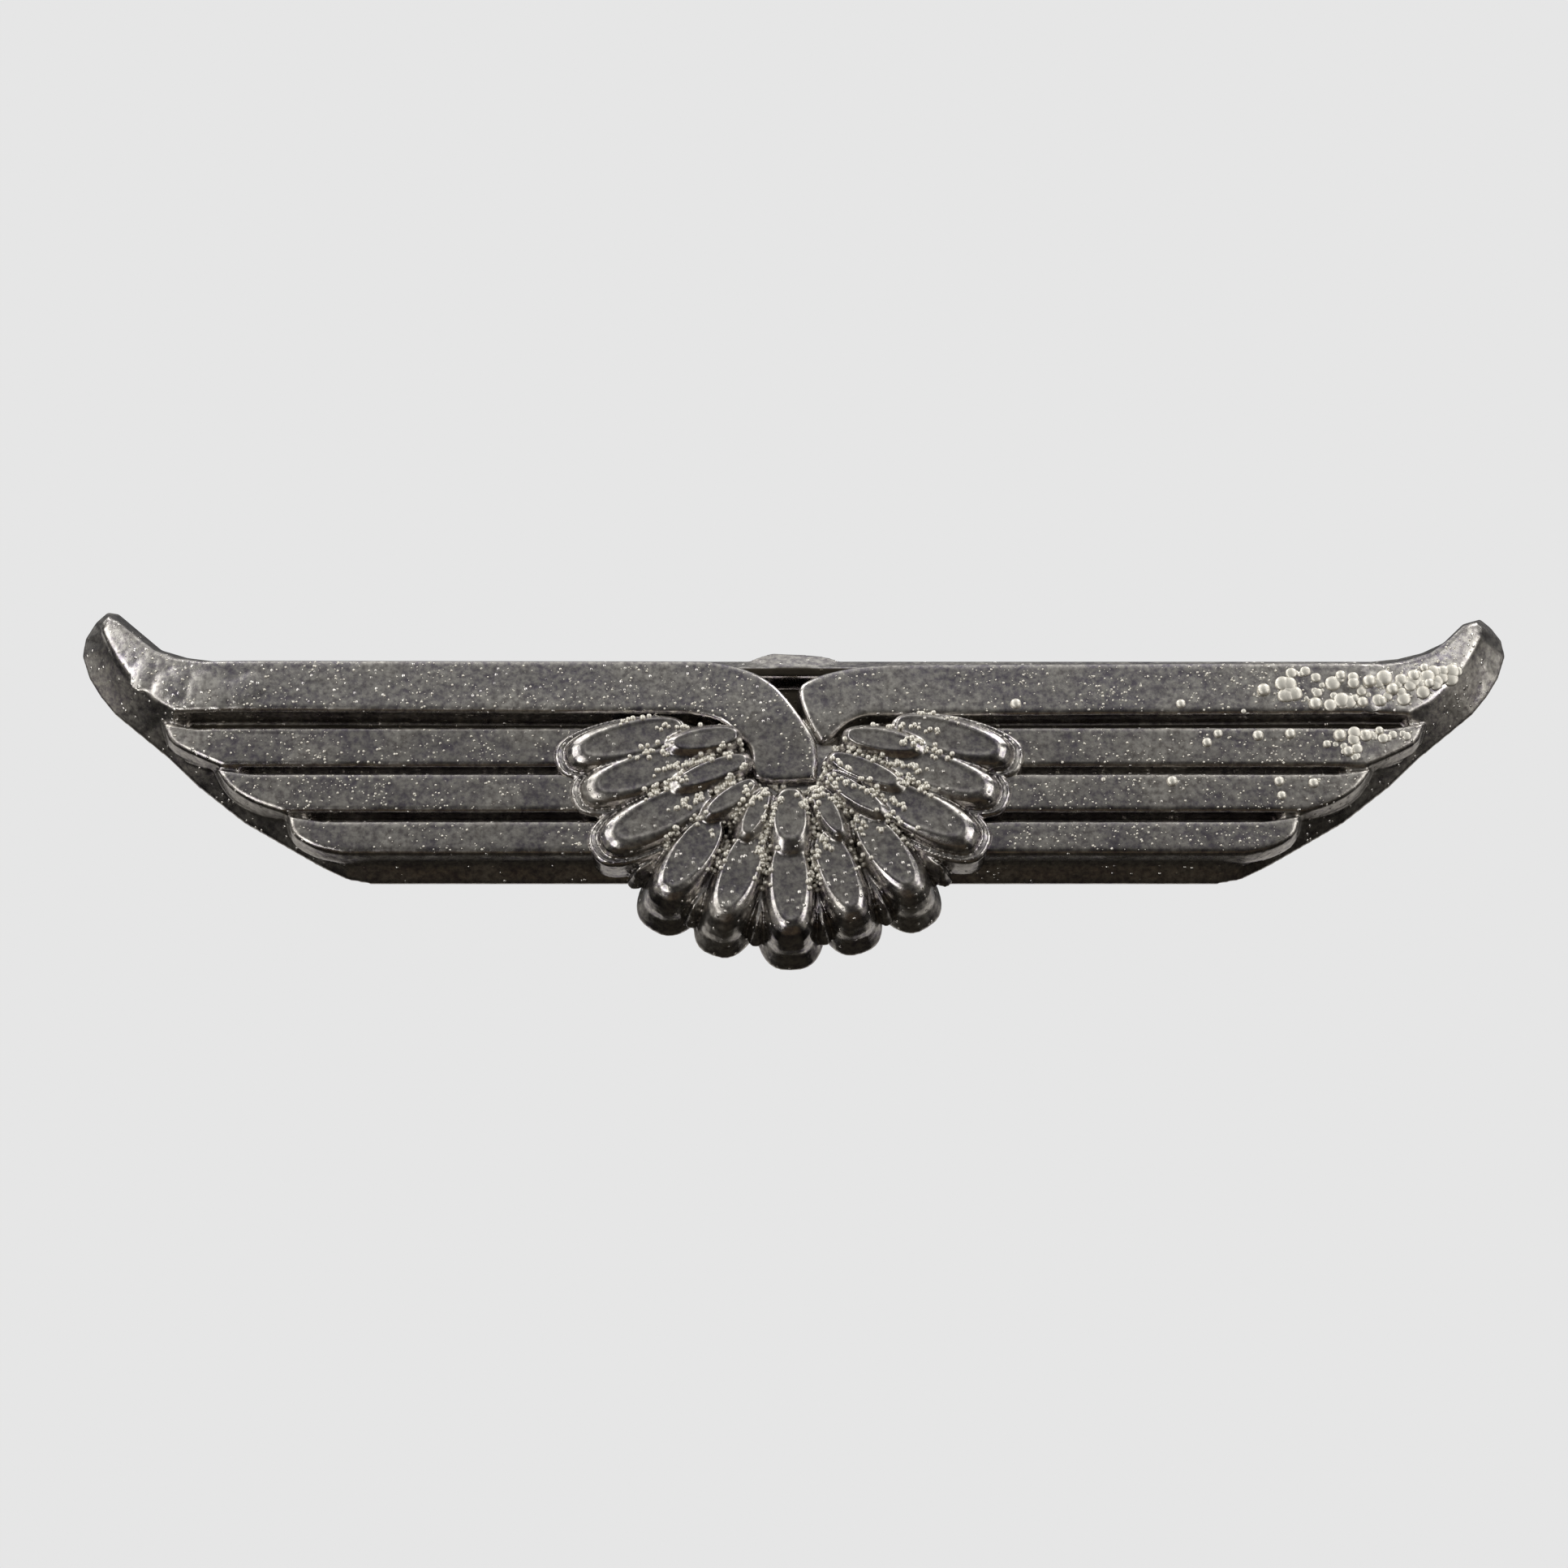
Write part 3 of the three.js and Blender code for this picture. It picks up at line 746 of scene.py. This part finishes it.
def featherRing(width, start, end, nose):
    # a tongue that hangs from the origin: blunt at the root, round at the tip, one millimetre long and wide
    points = []
    for i in range(plume["ringPoints"]):
        turn = math.tau * i / plume["ringPoints"]
        t = (1 - math.cos(turn)) / 2
        bulge = math.copysign(abs(math.sin(turn)) ** 0.72, math.sin(turn))
        half = bulge * (0.86 + 0.14 * t) * (1 - (1 - nose) * t * t)
        points.append((-width / 2 * half, -(start + (end - start) * t)))
    return points


def makeMaster(kind):
    return loft(f"{kind}Feather", [(level[0], featherRing(*level[1:])) for level in featherLevels[kind]])


def placeFeather(master, root, tip, width):
    feather = copyOf(master, "feather")
    axis = Vector((tip[0] - root[0], tip[1] - root[1]))
    size = Matrix.Diagonal((width, 1, axis.length, 1))
    turn = Matrix.Rotation(-math.atan2(axis.x, -axis.y), 4, "Y")
    feather.data.transform(Matrix.Translation((root[0], 0, root[1])) @ turn @ size)
    return feather


def ridgesBetween(feathers):
    # the crest of a feather that lies behind shows between each two outer ones
    ordered = sorted(feathers, key=lambda f: math.atan2(f[1][0], -f[1][1]))
    ridges = []
    for a, b in zip(ordered, ordered[1:]):
        root = [(a[0][k] + b[0][k]) / 2 for k in (0, 1)]
        tip = [(a[1][k] + b[1][k]) / 2 * 0.97 for k in (0, 1)]
        ridges.append((root, tip, 1.2))
    return ridges


def makeMound():
    # the low hill that the small feathers lie on
    turns = [math.tau * i / 32 for i in range(32)]
    outline = [(7.0 * math.cos(a), -3.2 + 4.6 * math.sin(a)) for a in turns]
    mound = addOutline("mound", outline, -0.75)
    return raiseFace(mound, 0.25, [(0.5, 0.5), (0.6, 0.4), (0.8, 0.15)])


def makePlume():
    outer = [*hangingFeathers, *lyingFeathers]
    kinds = {"hanging": hangingFeathers, "lying": lyingFeathers, "inner": innerFeathers,
             "middle": [middleFeather], "ridge": ridgesBetween(outer)}
    parts = [makeMound()]
    for kind, feathers in kinds.items():
        master = makeMaster(kind)
        parts += [placeFeather(master, *feather) for feather in feathers]
        bpy.data.objects.remove(master)
    # the two outermost hanging feathers reach behind the pin hollows
    for feather in parts[4:6]:
        for cutter in makeBackCutters():
            cut(feather, cutter)
    whole = castTogether(parts, "plume", plume["voxel"], 1)
    return finishPiece(whole, "plume_casting", castNickel, "badge", (), 180)


plumeCasting = makePlume()
print("plume cast")


# grains of nickel on the face

grains = {
    "specks": 2900,  # fine ones that gather in patches on the flat faces
    "speckRadius": (0.026, 0.085),
    "patchMm": 3.0,
    "noduleHeight": 0.6,  # how high a nodule stands, as a share of its radius
    "endNodules": 84,  # towards the right tip
    "endRadius": (0.1, 0.44),
    "endHeight": 0.36,
    "secondEnd": 22,  # and on the end of the feather below
    "besideInner": 52,  # beads beside each inner feather of the plume
    "besideOuter": 24,
    "roundShoulder": 80,
    "beadRadius": (0.09, 0.17),
}


def surfaceTree(casting):
    # for finding the surface: the casting in millimetres
    corners = [vertex.co / millimetre for vertex in casting.data.vertices]
    return BVHTree.FromPolygons(corners, [face.vertices for face in casting.data.polygons])


def growGrains(name, spots, faces):
    # one grain on the surface at each spot: (tree, x, z, radius, how high), seen from the front
    deselectAll()
    bpy.ops.mesh.primitive_ico_sphere_add(subdivisions=faces, radius=1)
    master = bpy.context.object
    dice = random.Random(19)
    grown = []
    for tree, x, z, radius, high in spots:
        hit, normal, _, _ = tree.ray_cast(Vector((x, -10, z)), Vector((0, 1, 0)))
        if hit is None:
            continue
        grain = copyOf(master, "grain")
        turn = Euler([dice.uniform(0, math.tau) for _ in range(3)]).to_matrix().to_4x4()
        size = Matrix.Diagonal((radius, radius * high, radius, 1))
        # it stands a little proud of the skin
        place = Matrix.Translation(hit + normal * radius * high * 0.2)
        grain.data.transform(place @ size @ turn)
        grown.append(grain)
    bpy.data.objects.remove(master)
    whole = joinPieces(grown, name)
    return finishPiece(whole, name, frostedNickel, "badge", (), 180)


def faceSpecks(tree):
    dice = random.Random(11)
    front = wings["baseThick"] + wings["barRelief"]
    least, most = grains["speckRadius"]
    spots = []
    for _ in range(60000):
        if len(spots) == grains["specks"]:
            break
        x, z = dice.uniform(-37.0, 37.0), dice.uniform(-6.0, 7.4)
        if noise.noise(Vector((x, 0, z)) / grains["patchMm"]) < dice.uniform(-0.45, 0.45):
            continue
        hit, normal, _, _ = tree.ray_cast(Vector((x, -10, z)), Vector((0, 1, 0)))
        # only on the faces of the long feathers, or near them
        if hit and normal.y < -0.9 and hit.y < 1.0 - front:
            radius = least + (most - least) * dice.random() ** 2.2
            spots.append((tree, x, z, radius, 0.5))
    return spots


def faceNodules(tree):
    # the listed ones, and small ones that crowd towards the right tip
    dice = random.Random(5)
    least, most = grains["endRadius"]
    spots = [(tree, x, z, radius * 0.85, grains["noduleHeight"]) for x, z, radius in nodules]
    for _ in range(grains["endNodules"]):
        x = 35.2 - 9.5 * dice.random() ** 1.1
        radius = least + (most - least) * dice.random() ** 1.7
        spots.append((tree, x, nearLeading(dice, x), radius, grains["endHeight"]))
    for _ in range(grains["secondEnd"]):
        x = dice.uniform(28.4, 32.4)
        z = 0.75 - dice.random() ** 1.5 * max(0.3, 32.8 - x) * 0.45
        spots.append((tree, x, z, dice.uniform(least, most) * 0.8, grains["endHeight"]))
    return spots


def plumeBeads(tree):
    # beads that gather beside the small feathers and under the end of the left shoulder
    dice = random.Random(7)
    outer = [*hangingFeathers, *lyingFeathers]
    spots = []
    for feathers, count, reach, across in (
            ([*innerFeathers, middleFeather], grains["besideInner"], (0.0, 1.02), (0.4, 0.56)),
            (outer, grains["besideOuter"], (0.1, 0.5), (0.3, 0.5))):
        for root, tip, width in feathers:
            sideways = Vector((tip[1] - root[1], root[0] - tip[0])).normalized() * width
            for _ in range(count):
                spot = Vector(root).lerp(Vector(tip), dice.uniform(*reach))
                spot += sideways * dice.choice((-1, 1)) * dice.uniform(*across)
                spots.append((tree, spot.x, spot.y, dice.uniform(*grains["beadRadius"]), 1.0))
    for _ in range(grains["roundShoulder"]):
        angle = dice.uniform(math.pi, math.tau)
        x, z = 0.1 + 1.55 * math.cos(angle), -1.5 + 1.2 * math.sin(angle)
        x += dice.gauss(0, 0.1)
        z += dice.gauss(0, 0.1)
        spots.append((tree, x, z, dice.uniform(*grains["beadRadius"]), 1.0))
    return spots


wingsTree, plumeTree = surfaceTree(wingsCasting), surfaceTree(plumeCasting)
growGrains("face_grains", faceSpecks(wingsTree), 1)
growGrains("face_nodules", faceNodules(wingsTree), 3)
growGrains("plume_beads", plumeBeads(plumeTree), 2)
print("grains grown")


# pins and their solder

pin = {
    "radius": 0.58,
    "flangeRadius": 2.3,
    "neckDepth": 0.16,
    "steps": 48,
}


def middleOf(node):
    low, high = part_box(node)
    return (low + high) / 2 / millimetre


def makePin(side):
    low, high = (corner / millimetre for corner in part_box(f"{side}_pin"))
    foot, point = low.y, high.y
    r, flange = pin["radius"], pin["flangeRadius"]
    top = foot + 0.43
    neck = [(r - pin["neckDepth"] * math.sin(math.pi * t / 6), point - 2.35 + 0.8 * t / 6) for t in range(7)]
    turns = [math.pi / 2 * t / 6 for t in range(1, 7)]
    tip = [(r * math.cos(a) ** 0.8, point - 1.1 + 1.1 * math.sin(a) ** 1.3) for a in turns]
    # the head's underside and rim, the root, the neck that the jaws grip, and the point
    profile = [
        (0, foot), (flange, foot), (flange, top - 0.14), (flange - 0.04, top - 0.05), (flange - 0.13, top),
        (r + 0.4, top), (r + 0.16, top + 0.06), (r + 0.04, top + 0.18), (r, top + 0.34),
        *neck, (r, point - 1.1), *tip[:-1], (0, point)]
    piece = spinProfile("pin", profile, pin["steps"])
    piece.data.transform(Matrix.Translation((middleOf(f"{side}_pin").x, 0, 0)))
    finishPiece(piece, f"{side}_pin_shaft", pinNickel, "badge", [f"{side}_pin"], 30)


def makeSolderRing(side):
    low, high = (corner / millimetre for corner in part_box(f"{side}_pin_solder"))
    inner, floor, top = pin["flangeRadius"] + 0.04, low.y, high.y
    profile = [(inner, floor), (3.15, floor), (3.02, floor + 0.04), (2.86, floor + 0.1), (2.7, floor + 0.13),
               (2.56, floor + 0.19), (2.46, top - 0.06), (2.38, top), (inner, top)]
    piece = spinProfile("solderRing", profile, 64)
    for vertex in piece.data.vertices:
        # solder runs further at some places than at others
        angle = math.atan2(vertex.co.z, vertex.co.x)
        radius = math.hypot(vertex.co.x, vertex.co.z)
        run = 0.05 * math.sin(3 * angle + 0.7) + 0.035 * math.sin(7 * angle) + 0.02 * math.sin(13 * angle + 2)
        factor = 1 + run * max(0.0, (radius - 2.5) / 0.65)
        vertex.co.x *= factor
        vertex.co.z *= factor
    piece.data.transform(Matrix.Translation((middleOf(f"{side}_pin_solder").x, 0, 0)))
    finishPiece(piece, f"{side}_solder_fillet", solderMetal, "badge", [f"{side}_pin_solder"], 40)


# butterfly clutches, drawn with the cloth face at y = 0 and the pin's axis on Y, then moved to each pin

clutch = {
    "plateRadius": 5.55,
    "sheet": 0.35,
    "lugHalf": 1.1,
    "lugFrom": 3.15,
    "cageHalf": 2.2,
    "cageWidth": 4.4,
    "cageTop": 4.35,
    "footFrom": 0.43,
    "footHalf": 3.05,
    "windowLow": 2.25,
    "windowHigh": 3.65,
    "windowHalf": 1.75,
    "pinHole": 0.9,
    "jawTip": (0.25, 1.9),
    "jawPivot": (2.4, 2.9),
    "jawHalf": 1.3,
    "notch": 0.63,
    "earLean": 0.78,
}
# half the width of one finger wing at distances from its bend
earWidths = [(0.0, 1.5), (0.4, 1.5), (0.7, 1.65), (1.0, 2.0), (1.3, 2.55), (1.6, 3.0), (2.1, 3.38),
             (2.6, 3.5), (3.2, 3.42), (3.8, 3.1), (4.2, 2.6), (4.45, 2.05), (4.62, 1.3), (4.7, 0.4)]


def roundedBox(name, size, centre, radius, cornerAxis):
    # a block whose four edges along one axis are rounded
    deselectAll()
    bpy.ops.mesh.primitive_cube_add(size=1, location=centre, scale=size)
    block = bpy.context.object
    block.name = name
    bpy.ops.object.transform_apply(location=True, rotation=True, scale=True)
    if radius:
        others = [k for k in range(3) if k != cornerAxis]
        editAll(block)
        bpy.ops.mesh.select_mode(type="EDGE")
        bpy.ops.mesh.select_all(action="DESELECT")
        leaveEdit()
        for edge in block.data.edges:
            a, b = (block.data.vertices[k].co for k in edge.vertices)
            edge.select = all(abs(a[k] - b[k]) < 1e-4 for k in others)
        bpy.ops.object.mode_set(mode="EDIT")
        bpy.ops.mesh.bevel(offset=radius, segments=5)
        leaveEdit()
    return block


def addRod(radius, length, centre, turn=(math.pi / 2, 0, 0)):
    deselectAll()
    bpy.ops.mesh.primitive_cylinder_add(vertices=48, radius=radius, depth=length, location=centre,
                                        rotation=turn)
    rod = bpy.context.object
    bpy.ops.object.transform_apply(location=True, rotation=True, scale=True)
    return rod


def easeEdges(piece, width, segments=2):
    applyModifier(piece, "BEVEL", width=width, segments=segments, limit_method="ANGLE",
                  angle_limit=math.radians(40), harden_normals=False)


def makeDish():
    # the round plate: a pressed dish with a rolled rim, a collar for the pin and two lugs that are
    # folded over the cage's feet
    c = clutch
    r = c["plateRadius"]
    rim = [(r - 0.3 + 0.3 * math.cos(a), 0.42 + 0.42 * math.sin(a)) for a in
           (math.radians(d) for d in (-80, -60, -40, -20, 0, 20, 40, 60, 80, 100, 120, 140))]
    profile = [(0.76, 0.3), (0.84, 0.1), (1.05, 0.0), (2.6, 0.0), (2.8, 0.06), (3.0, 0.0), (r - 0.55, 0.0),
               *rim, (r - 0.62, 0.5), (r - 0.72, 0.38), (1.4, 0.38), (1.15, 0.5), (1.05, 0.68), (1.0, 0.83),
               (0.9, 0.86), (0.78, 0.83)]
    dish = spinProfile("dish", profile, 96)
    start, half = c["lugFrom"], c["lugHalf"]
    for sign in (-1, 1):
        middle = sign * (start + c["sheet"] / 2)
        rise = roundedBox("rise", (2 * half, 0.85, c["sheet"]), (0, 0.725, middle), 0, 0)
        fold = roundedBox("fold", (2 * half, 0.3, 1.05), (0, 1.0, sign * (start - 0.175)), 0.35, 1)
        cut(rise, fold, "UNION")
        easeEdges(rise, 0.07)
        cut(dish, rise, "UNION")
    return dish


def makeCage():
    # the spring cage: a strip folded into an arch on a flat foot, with a window on each side and a
    # hole for the pin
    c = clutch
    outer = c["cageHalf"] + c["sheet"]
    foot, top, width = c["footFrom"], c["cageTop"], c["cageWidth"]
    arch = roundedBox("arch", (2 * outer, top - foot + 1, width), (0, (top + foot - 1) / 2, 0), 0.55, 2)
    inside = roundedBox("inside", (2 * c["cageHalf"], top - foot + 1 - c["sheet"], width + 2),
                        (0, (top - c["sheet"] + foot - 1) / 2, 0), 0.22, 2)
    cut(arch, inside)
    below = roundedBox("below", (9, 2, 9), (0, foot - 1, 0), 0, 0)
    cut(arch, below)
    base = roundedBox("base", (2 * outer, c["sheet"], 2 * c["footHalf"]),
                      (0, foot + c["sheet"] / 2, 0), 0.3, 1)
    cut(base, roundedBox("opening", (3.2, 2, 3.8), (0, foot, 0), 0.4, 1))
    cut(arch, base, "UNION")
    tall = c["windowHigh"] - c["windowLow"]
    middle = (c["windowHigh"] + c["windowLow"]) / 2
    cut(arch, roundedBox("windows", (9, tall, 2 * c["windowHalf"]), (0, middle, 0), 0.25, 0))
    cut(arch, addRod(c["pinHole"], 3, (0, top, 0)))
    easeEdges(arch, 0.06)
    return arch


def earPath(u):
    # the ear's centre line from the jaw's tip through the bend at u = 0 to the finger end
    (tipX, tipY), (pivotX, pivotY) = clutch["jawTip"], clutch["jawPivot"]
    rise = math.atan2(pivotY - tipY, pivotX - tipX)
    if u < 0:
        return pivotX + u * math.cos(rise), pivotY + u * math.sin(rise)
    lean = clutch["earLean"]
    curl = 0.02 * max(0.0, u - 3.2) ** 2
    along, up = math.cos(lean), math.sin(lean)
    return pivotX + u * along + curl * up, pivotY + u * up - curl * along


def makeEar():
    # one ear: a jaw with a half-round notch, a neck through the cage's window and a wing for the finger
    c = clutch
    (tipX, tipY), (pivotX, pivotY) = c["jawTip"], c["jawPivot"]
    jawLength = math.hypot(pivotX - tipX, pivotY - tipY)
    jaw = [(-jawLength + jawLength * k / 5, c["jawHalf"]) for k in range(5)]
    stations = [*jaw, (-0.12, 1.38), *earWidths]
    across = 8
    deselectAll()
    bpy.ops.mesh.primitive_grid_add(x_subdivisions=len(stations) - 1, y_subdivisions=across, size=2)
    ear = bpy.context.object
    columns = sorted({round(v.co.x, 4) for v in ear.data.vertices})
    for vertex in ear.data.vertices:
        u, half = stations[columns.index(round(vertex.co.x, 4))]
        # the wing is dished a little for the finger
        share = vertex.co.y
        x, y = earPath(u)
        hollow = 0.12 * max(0.0, min(1.0, (u - 1.2) / 1.2)) * (1 - share ** 2)
        vertex.co = (x + hollow * math.sin(c["earLean"]), y - hollow * math.cos(c["earLean"]), share * half)
    applyModifier(ear, "SOLIDIFY", thickness=c["sheet"], offset=0)
    outwards(ear)
    cut(ear, addRod(c["notch"], 6, (0, 2, 0)))
    easeEdges(ear, 0.07)
    return ear


def makeClutches():
    masters = {"dish": makeDish(), "cage": makeCage(), "ear": makeEar()}
    for side, sign in (("left", -1), ("right", 1)):
        low, _ = (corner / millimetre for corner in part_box(f"{side}_clutch_plate"))
        shift = Matrix.Translation((middleOf(f"{side}_clutch_plate").x, low.y, 0))
        for part, node in (("dish", "plate"), ("cage", "bridge")):
            piece = copyOf(masters[part], part)
            piece.data.transform(shift)
            finishPiece(piece, f"{side}_clutch_{part}", clutchNickel, f"{side}_clutch",
                        [f"{side}_clutch_{node}"], 30)
        for ear, turn in (("outer", sign), ("inner", -sign)):
            piece = copyOf(masters["ear"], ear)
            if turn < 0:
                piece.data.transform(Matrix.Rotation(math.pi, 4, "Y"))
            piece.data.transform(shift)
            finishPiece(piece, f"{side}_{ear}_finger_wing", clutchNickel, f"{side}_{ear}_ear",
                        [f"{side}_clutch_{ear}_ear"], 30)
    for master in masters.values():
        bpy.data.objects.remove(master)


for side in ("left", "right"):
    makePin(side)
    makeSolderRing(side)
makeClutches()
print("pins and clutches made")


# the stage: camera, floor, world and lights

view = {
    "elevation": -22.0,
    "distanceMm": 228.8,
    "lens": 100.0,
    "aimMm": (-0.52, -1.5, -1.93),
}


def makeCamera():
    aim = Vector(view["aimMm"]) * millimetre
    tilt = math.radians(view["elevation"])
    away = Vector((0, -math.cos(tilt), math.sin(tilt)))
    bpy.ops.object.camera_add(location=aim + away * view["distanceMm"] * millimetre)
    camera = bpy.context.object
    camera.rotation_euler = (-away).to_track_quat("-Z", "Y").to_euler()
    camera.data.lens = view["lens"]
    camera.data.sensor_width = 36
    camera.data.clip_start = 0.01
    bpy.context.scene.camera = camera


def makeFloor():
    material = bpy.data.materials.new("paleFloor")
    material.use_nodes = True
    shader = material.node_tree.nodes["Principled BSDF"]
    shader.inputs["Base Color"].default_value = fromHex("#f2f2f2")
    shader.inputs["Roughness"].default_value = 0.9
    deselectAll()
    bpy.ops.mesh.primitive_plane_add(size=12, location=(0, 0, -0.6))
    floor = bpy.context.object
    floor.name = "floor"
    floor.data.materials.append(material)
    floor.visible_glossy = False


tent = {
    # how bright the tent is at heights from the bottom, 0, to the top, 1
    "bottom": (0.034, 0.03, 0.024, 1),
    "bands": [(0.3, (0.03, 0.028, 0.024, 1)), (0.42, (0.05, 0.048, 0.045, 1)), (0.5, (0.1, 0.098, 0.095, 1)),
              (0.6, (0.14, 0.139, 0.137, 1)), (0.69, (0.235, 0.235, 0.235, 1)), (0.78, (0.38, 0.38, 0.38, 1)),
              (0.88, (0.5, 0.5, 0.5, 1))],
    "top": (0.7, 0.7, 0.7, 1),
    "topRear": 0.2,  # how much of that is left high up behind the badge
    "curtain": 0.3,  # and at the sides
    # glows that are added: a colour and how bright
    "lowFront": ("#fffaf2", 0.3),
    "lowRear": ("#fffcf8", 0.6),
    "floorGlow": ("#b89a78", 0.12),
}


def makeWorld():
    # pale all round, but for reflections a tent that is dark below, dim ahead and pale above
    world = bpy.data.worlds.new("studio")
    bpy.context.scene.world = world
    world.use_nodes = True
    tree = world.node_tree
    tree.nodes.clear()
    coords = addNode(tree, "ShaderNodeTexCoord")
    parts = addNode(tree, "ShaderNodeSeparateXYZ", [(coords.outputs["Generated"], 0)])
    x, y, z = parts.outputs
    height = addNode(tree, "ShaderNodeMapRange", [(z, "Value")], in_From_Min=-1.0, in_From_Max=1.0)
    ramp = addNode(tree, "ShaderNodeValToRGB", [(height.outputs[0], 0)])
    stops = ramp.color_ramp.elements
    stops[0].position, stops[0].color = 0.0, tent["bottom"]
    stops[1].position, stops[1].color = 1.0, tent["top"]
    for position, colour in tent["bands"]:
        stops.new(position).color = colour

    def band(value, low, high):
        # 0 below low, 1 above high, and the other way round if they are given in falling order
        return addNode(tree, "ShaderNodeMapRange", [(value, "Value")], in_From_Min=low, in_From_Max=high,
                       interpolation_type="SMOOTHSTEP").outputs[0]

    aside = addNode(tree, "ShaderNodeMath", [(x, 0)], operation="ABSOLUTE").outputs[0]
    sides = addNode(tree, "ShaderNodeMath", [(band(aside, 0.35, 0.65), 0), (band(z, -0.55, -0.25), 1)],
                    operation="MULTIPLY").outputs[0]
    low = addNode(tree, "ShaderNodeMath", [(sides, 0), (band(z, 0.3, 0.0), 1)],
                  operation="MULTIPLY").outputs[0]
    lowFront = addNode(tree, "ShaderNodeMath", [(low, 0), (band(y, 0.2, -0.2), 1)],
                       operation="MULTIPLY").outputs[0]
    rear = addNode(tree, "ShaderNodeMath", [(band(y, 0.3, 0.8), 0), (band(z, -0.58, -0.42), 1)],
                   operation="MULTIPLY").outputs[0]
    floorGlow = addNode(tree, "ShaderNodeMath", [(band(y, -0.1, -0.45), 0), (band(z, -0.6, -0.8), 1)],
                        operation="MULTIPLY").outputs[0]
    lowRear = addNode(tree, "ShaderNodeMath", [(rear, 0), (band(z, 0.4, 0.15), 1)],
                      operation="MULTIPLY").outputs[0]
    topRear = addNode(tree, "ShaderNodeMath", [(band(y, 0.3, 0.65), 0), (band(z, 0.3, 0.5), 1)],
                      operation="MULTIPLY").outputs[0]
    shade = addNode(tree, "ShaderNodeMapRange", [(topRear, "Value")],
                    in_To_Min=1.0, in_To_Max=tent["topRear"])
    curtain = addNode(tree, "ShaderNodeMapRange", [(band(aside, 0.45, 0.75), "Value")],
                      in_To_Min=1.0, in_To_Max=tent["curtain"])
    dimmed = addNode(tree, "ShaderNodeMath", [(shade.outputs[0], 0), (curtain.outputs[0], 1)],
                     operation="MULTIPLY")
    above = addNode(tree, "ShaderNodeBackground", [(ramp.outputs[0], 0), (dimmed.outputs[0], 1)])
    total = above.outputs[0]
    for mask, name in ((lowFront, "lowFront"), (lowRear, "lowRear"), (floorGlow, "floorGlow")):
        colour, level = tent[name]
        strength = addNode(tree, "ShaderNodeMapRange", [(mask, "Value")], in_To_Max=level)
        glow = addNode(tree, "ShaderNodeBackground", [(strength.outputs[0], 1)], in_Color=fromHex(colour))
        total = addNode(tree, "ShaderNodeAddShader", [(total, 0), (glow.outputs[0], 1)]).outputs[0]
    pale = addNode(tree, "ShaderNodeBackground", in_Color=fromHex("#e6e6e6"), in_Strength=1.0)
    path = addNode(tree, "ShaderNodeLightPath")
    mix = addNode(tree, "ShaderNodeMixShader", [
        (path.outputs["Is Glossy Ray"], 0), (pale.outputs[0], 1), (total, 2)])
    addNode(tree, "ShaderNodeOutputWorld", [(mix.outputs[0], "Surface")])


softboxes = {
    "leftTop": {"place": (-0.24, -0.1, 0.38), "size": (0.3, 0.18), "radiance": 4.3},
    "rightTop": {"place": (0.24, -0.1, 0.38), "size": (0.3, 0.18), "radiance": 4.3},
    "leftSide": {"place": (-0.33, -0.22, 0.1), "size": (0.2, 0.22), "radiance": 2.8},
    "rightSide": {"place": (0.33, -0.25, 0.04), "size": (0.2, 0.24), "radiance": 2.8},
    "leftLow": {"place": (-0.24, -0.305, -0.157), "size": (0.18, 0.2), "radiance": 4.0},
    "leftFront": {"place": (-0.32, -0.36, 0.22), "size": (0.16, 0.22), "radiance": 1.3},
    "rightFront": {"place": (0.27, -0.4, 0.19), "size": (0.2, 0.2), "radiance": 0.95},
}


def makeLights():
    for name, box in softboxes.items():
        data = bpy.data.lights.new(name, "AREA")
        data.shape = "RECTANGLE"
        data.size, data.size_y = box["size"]
        data.energy = box["radiance"] * math.pi * data.size * data.size_y
        light = bpy.data.objects.new(name, data)
        bpy.context.collection.objects.link(light)
        light.location = box["place"]
        light.rotation_euler = (-Vector(box["place"])).to_track_quat("-Z", "Y").to_euler()


makeCamera()
makeFloor()
makeWorld()
makeLights()
bpy.context.scene.view_settings.view_transform = "Standard"
bpy.context.scene.view_settings.look = "None"
print("stage set")
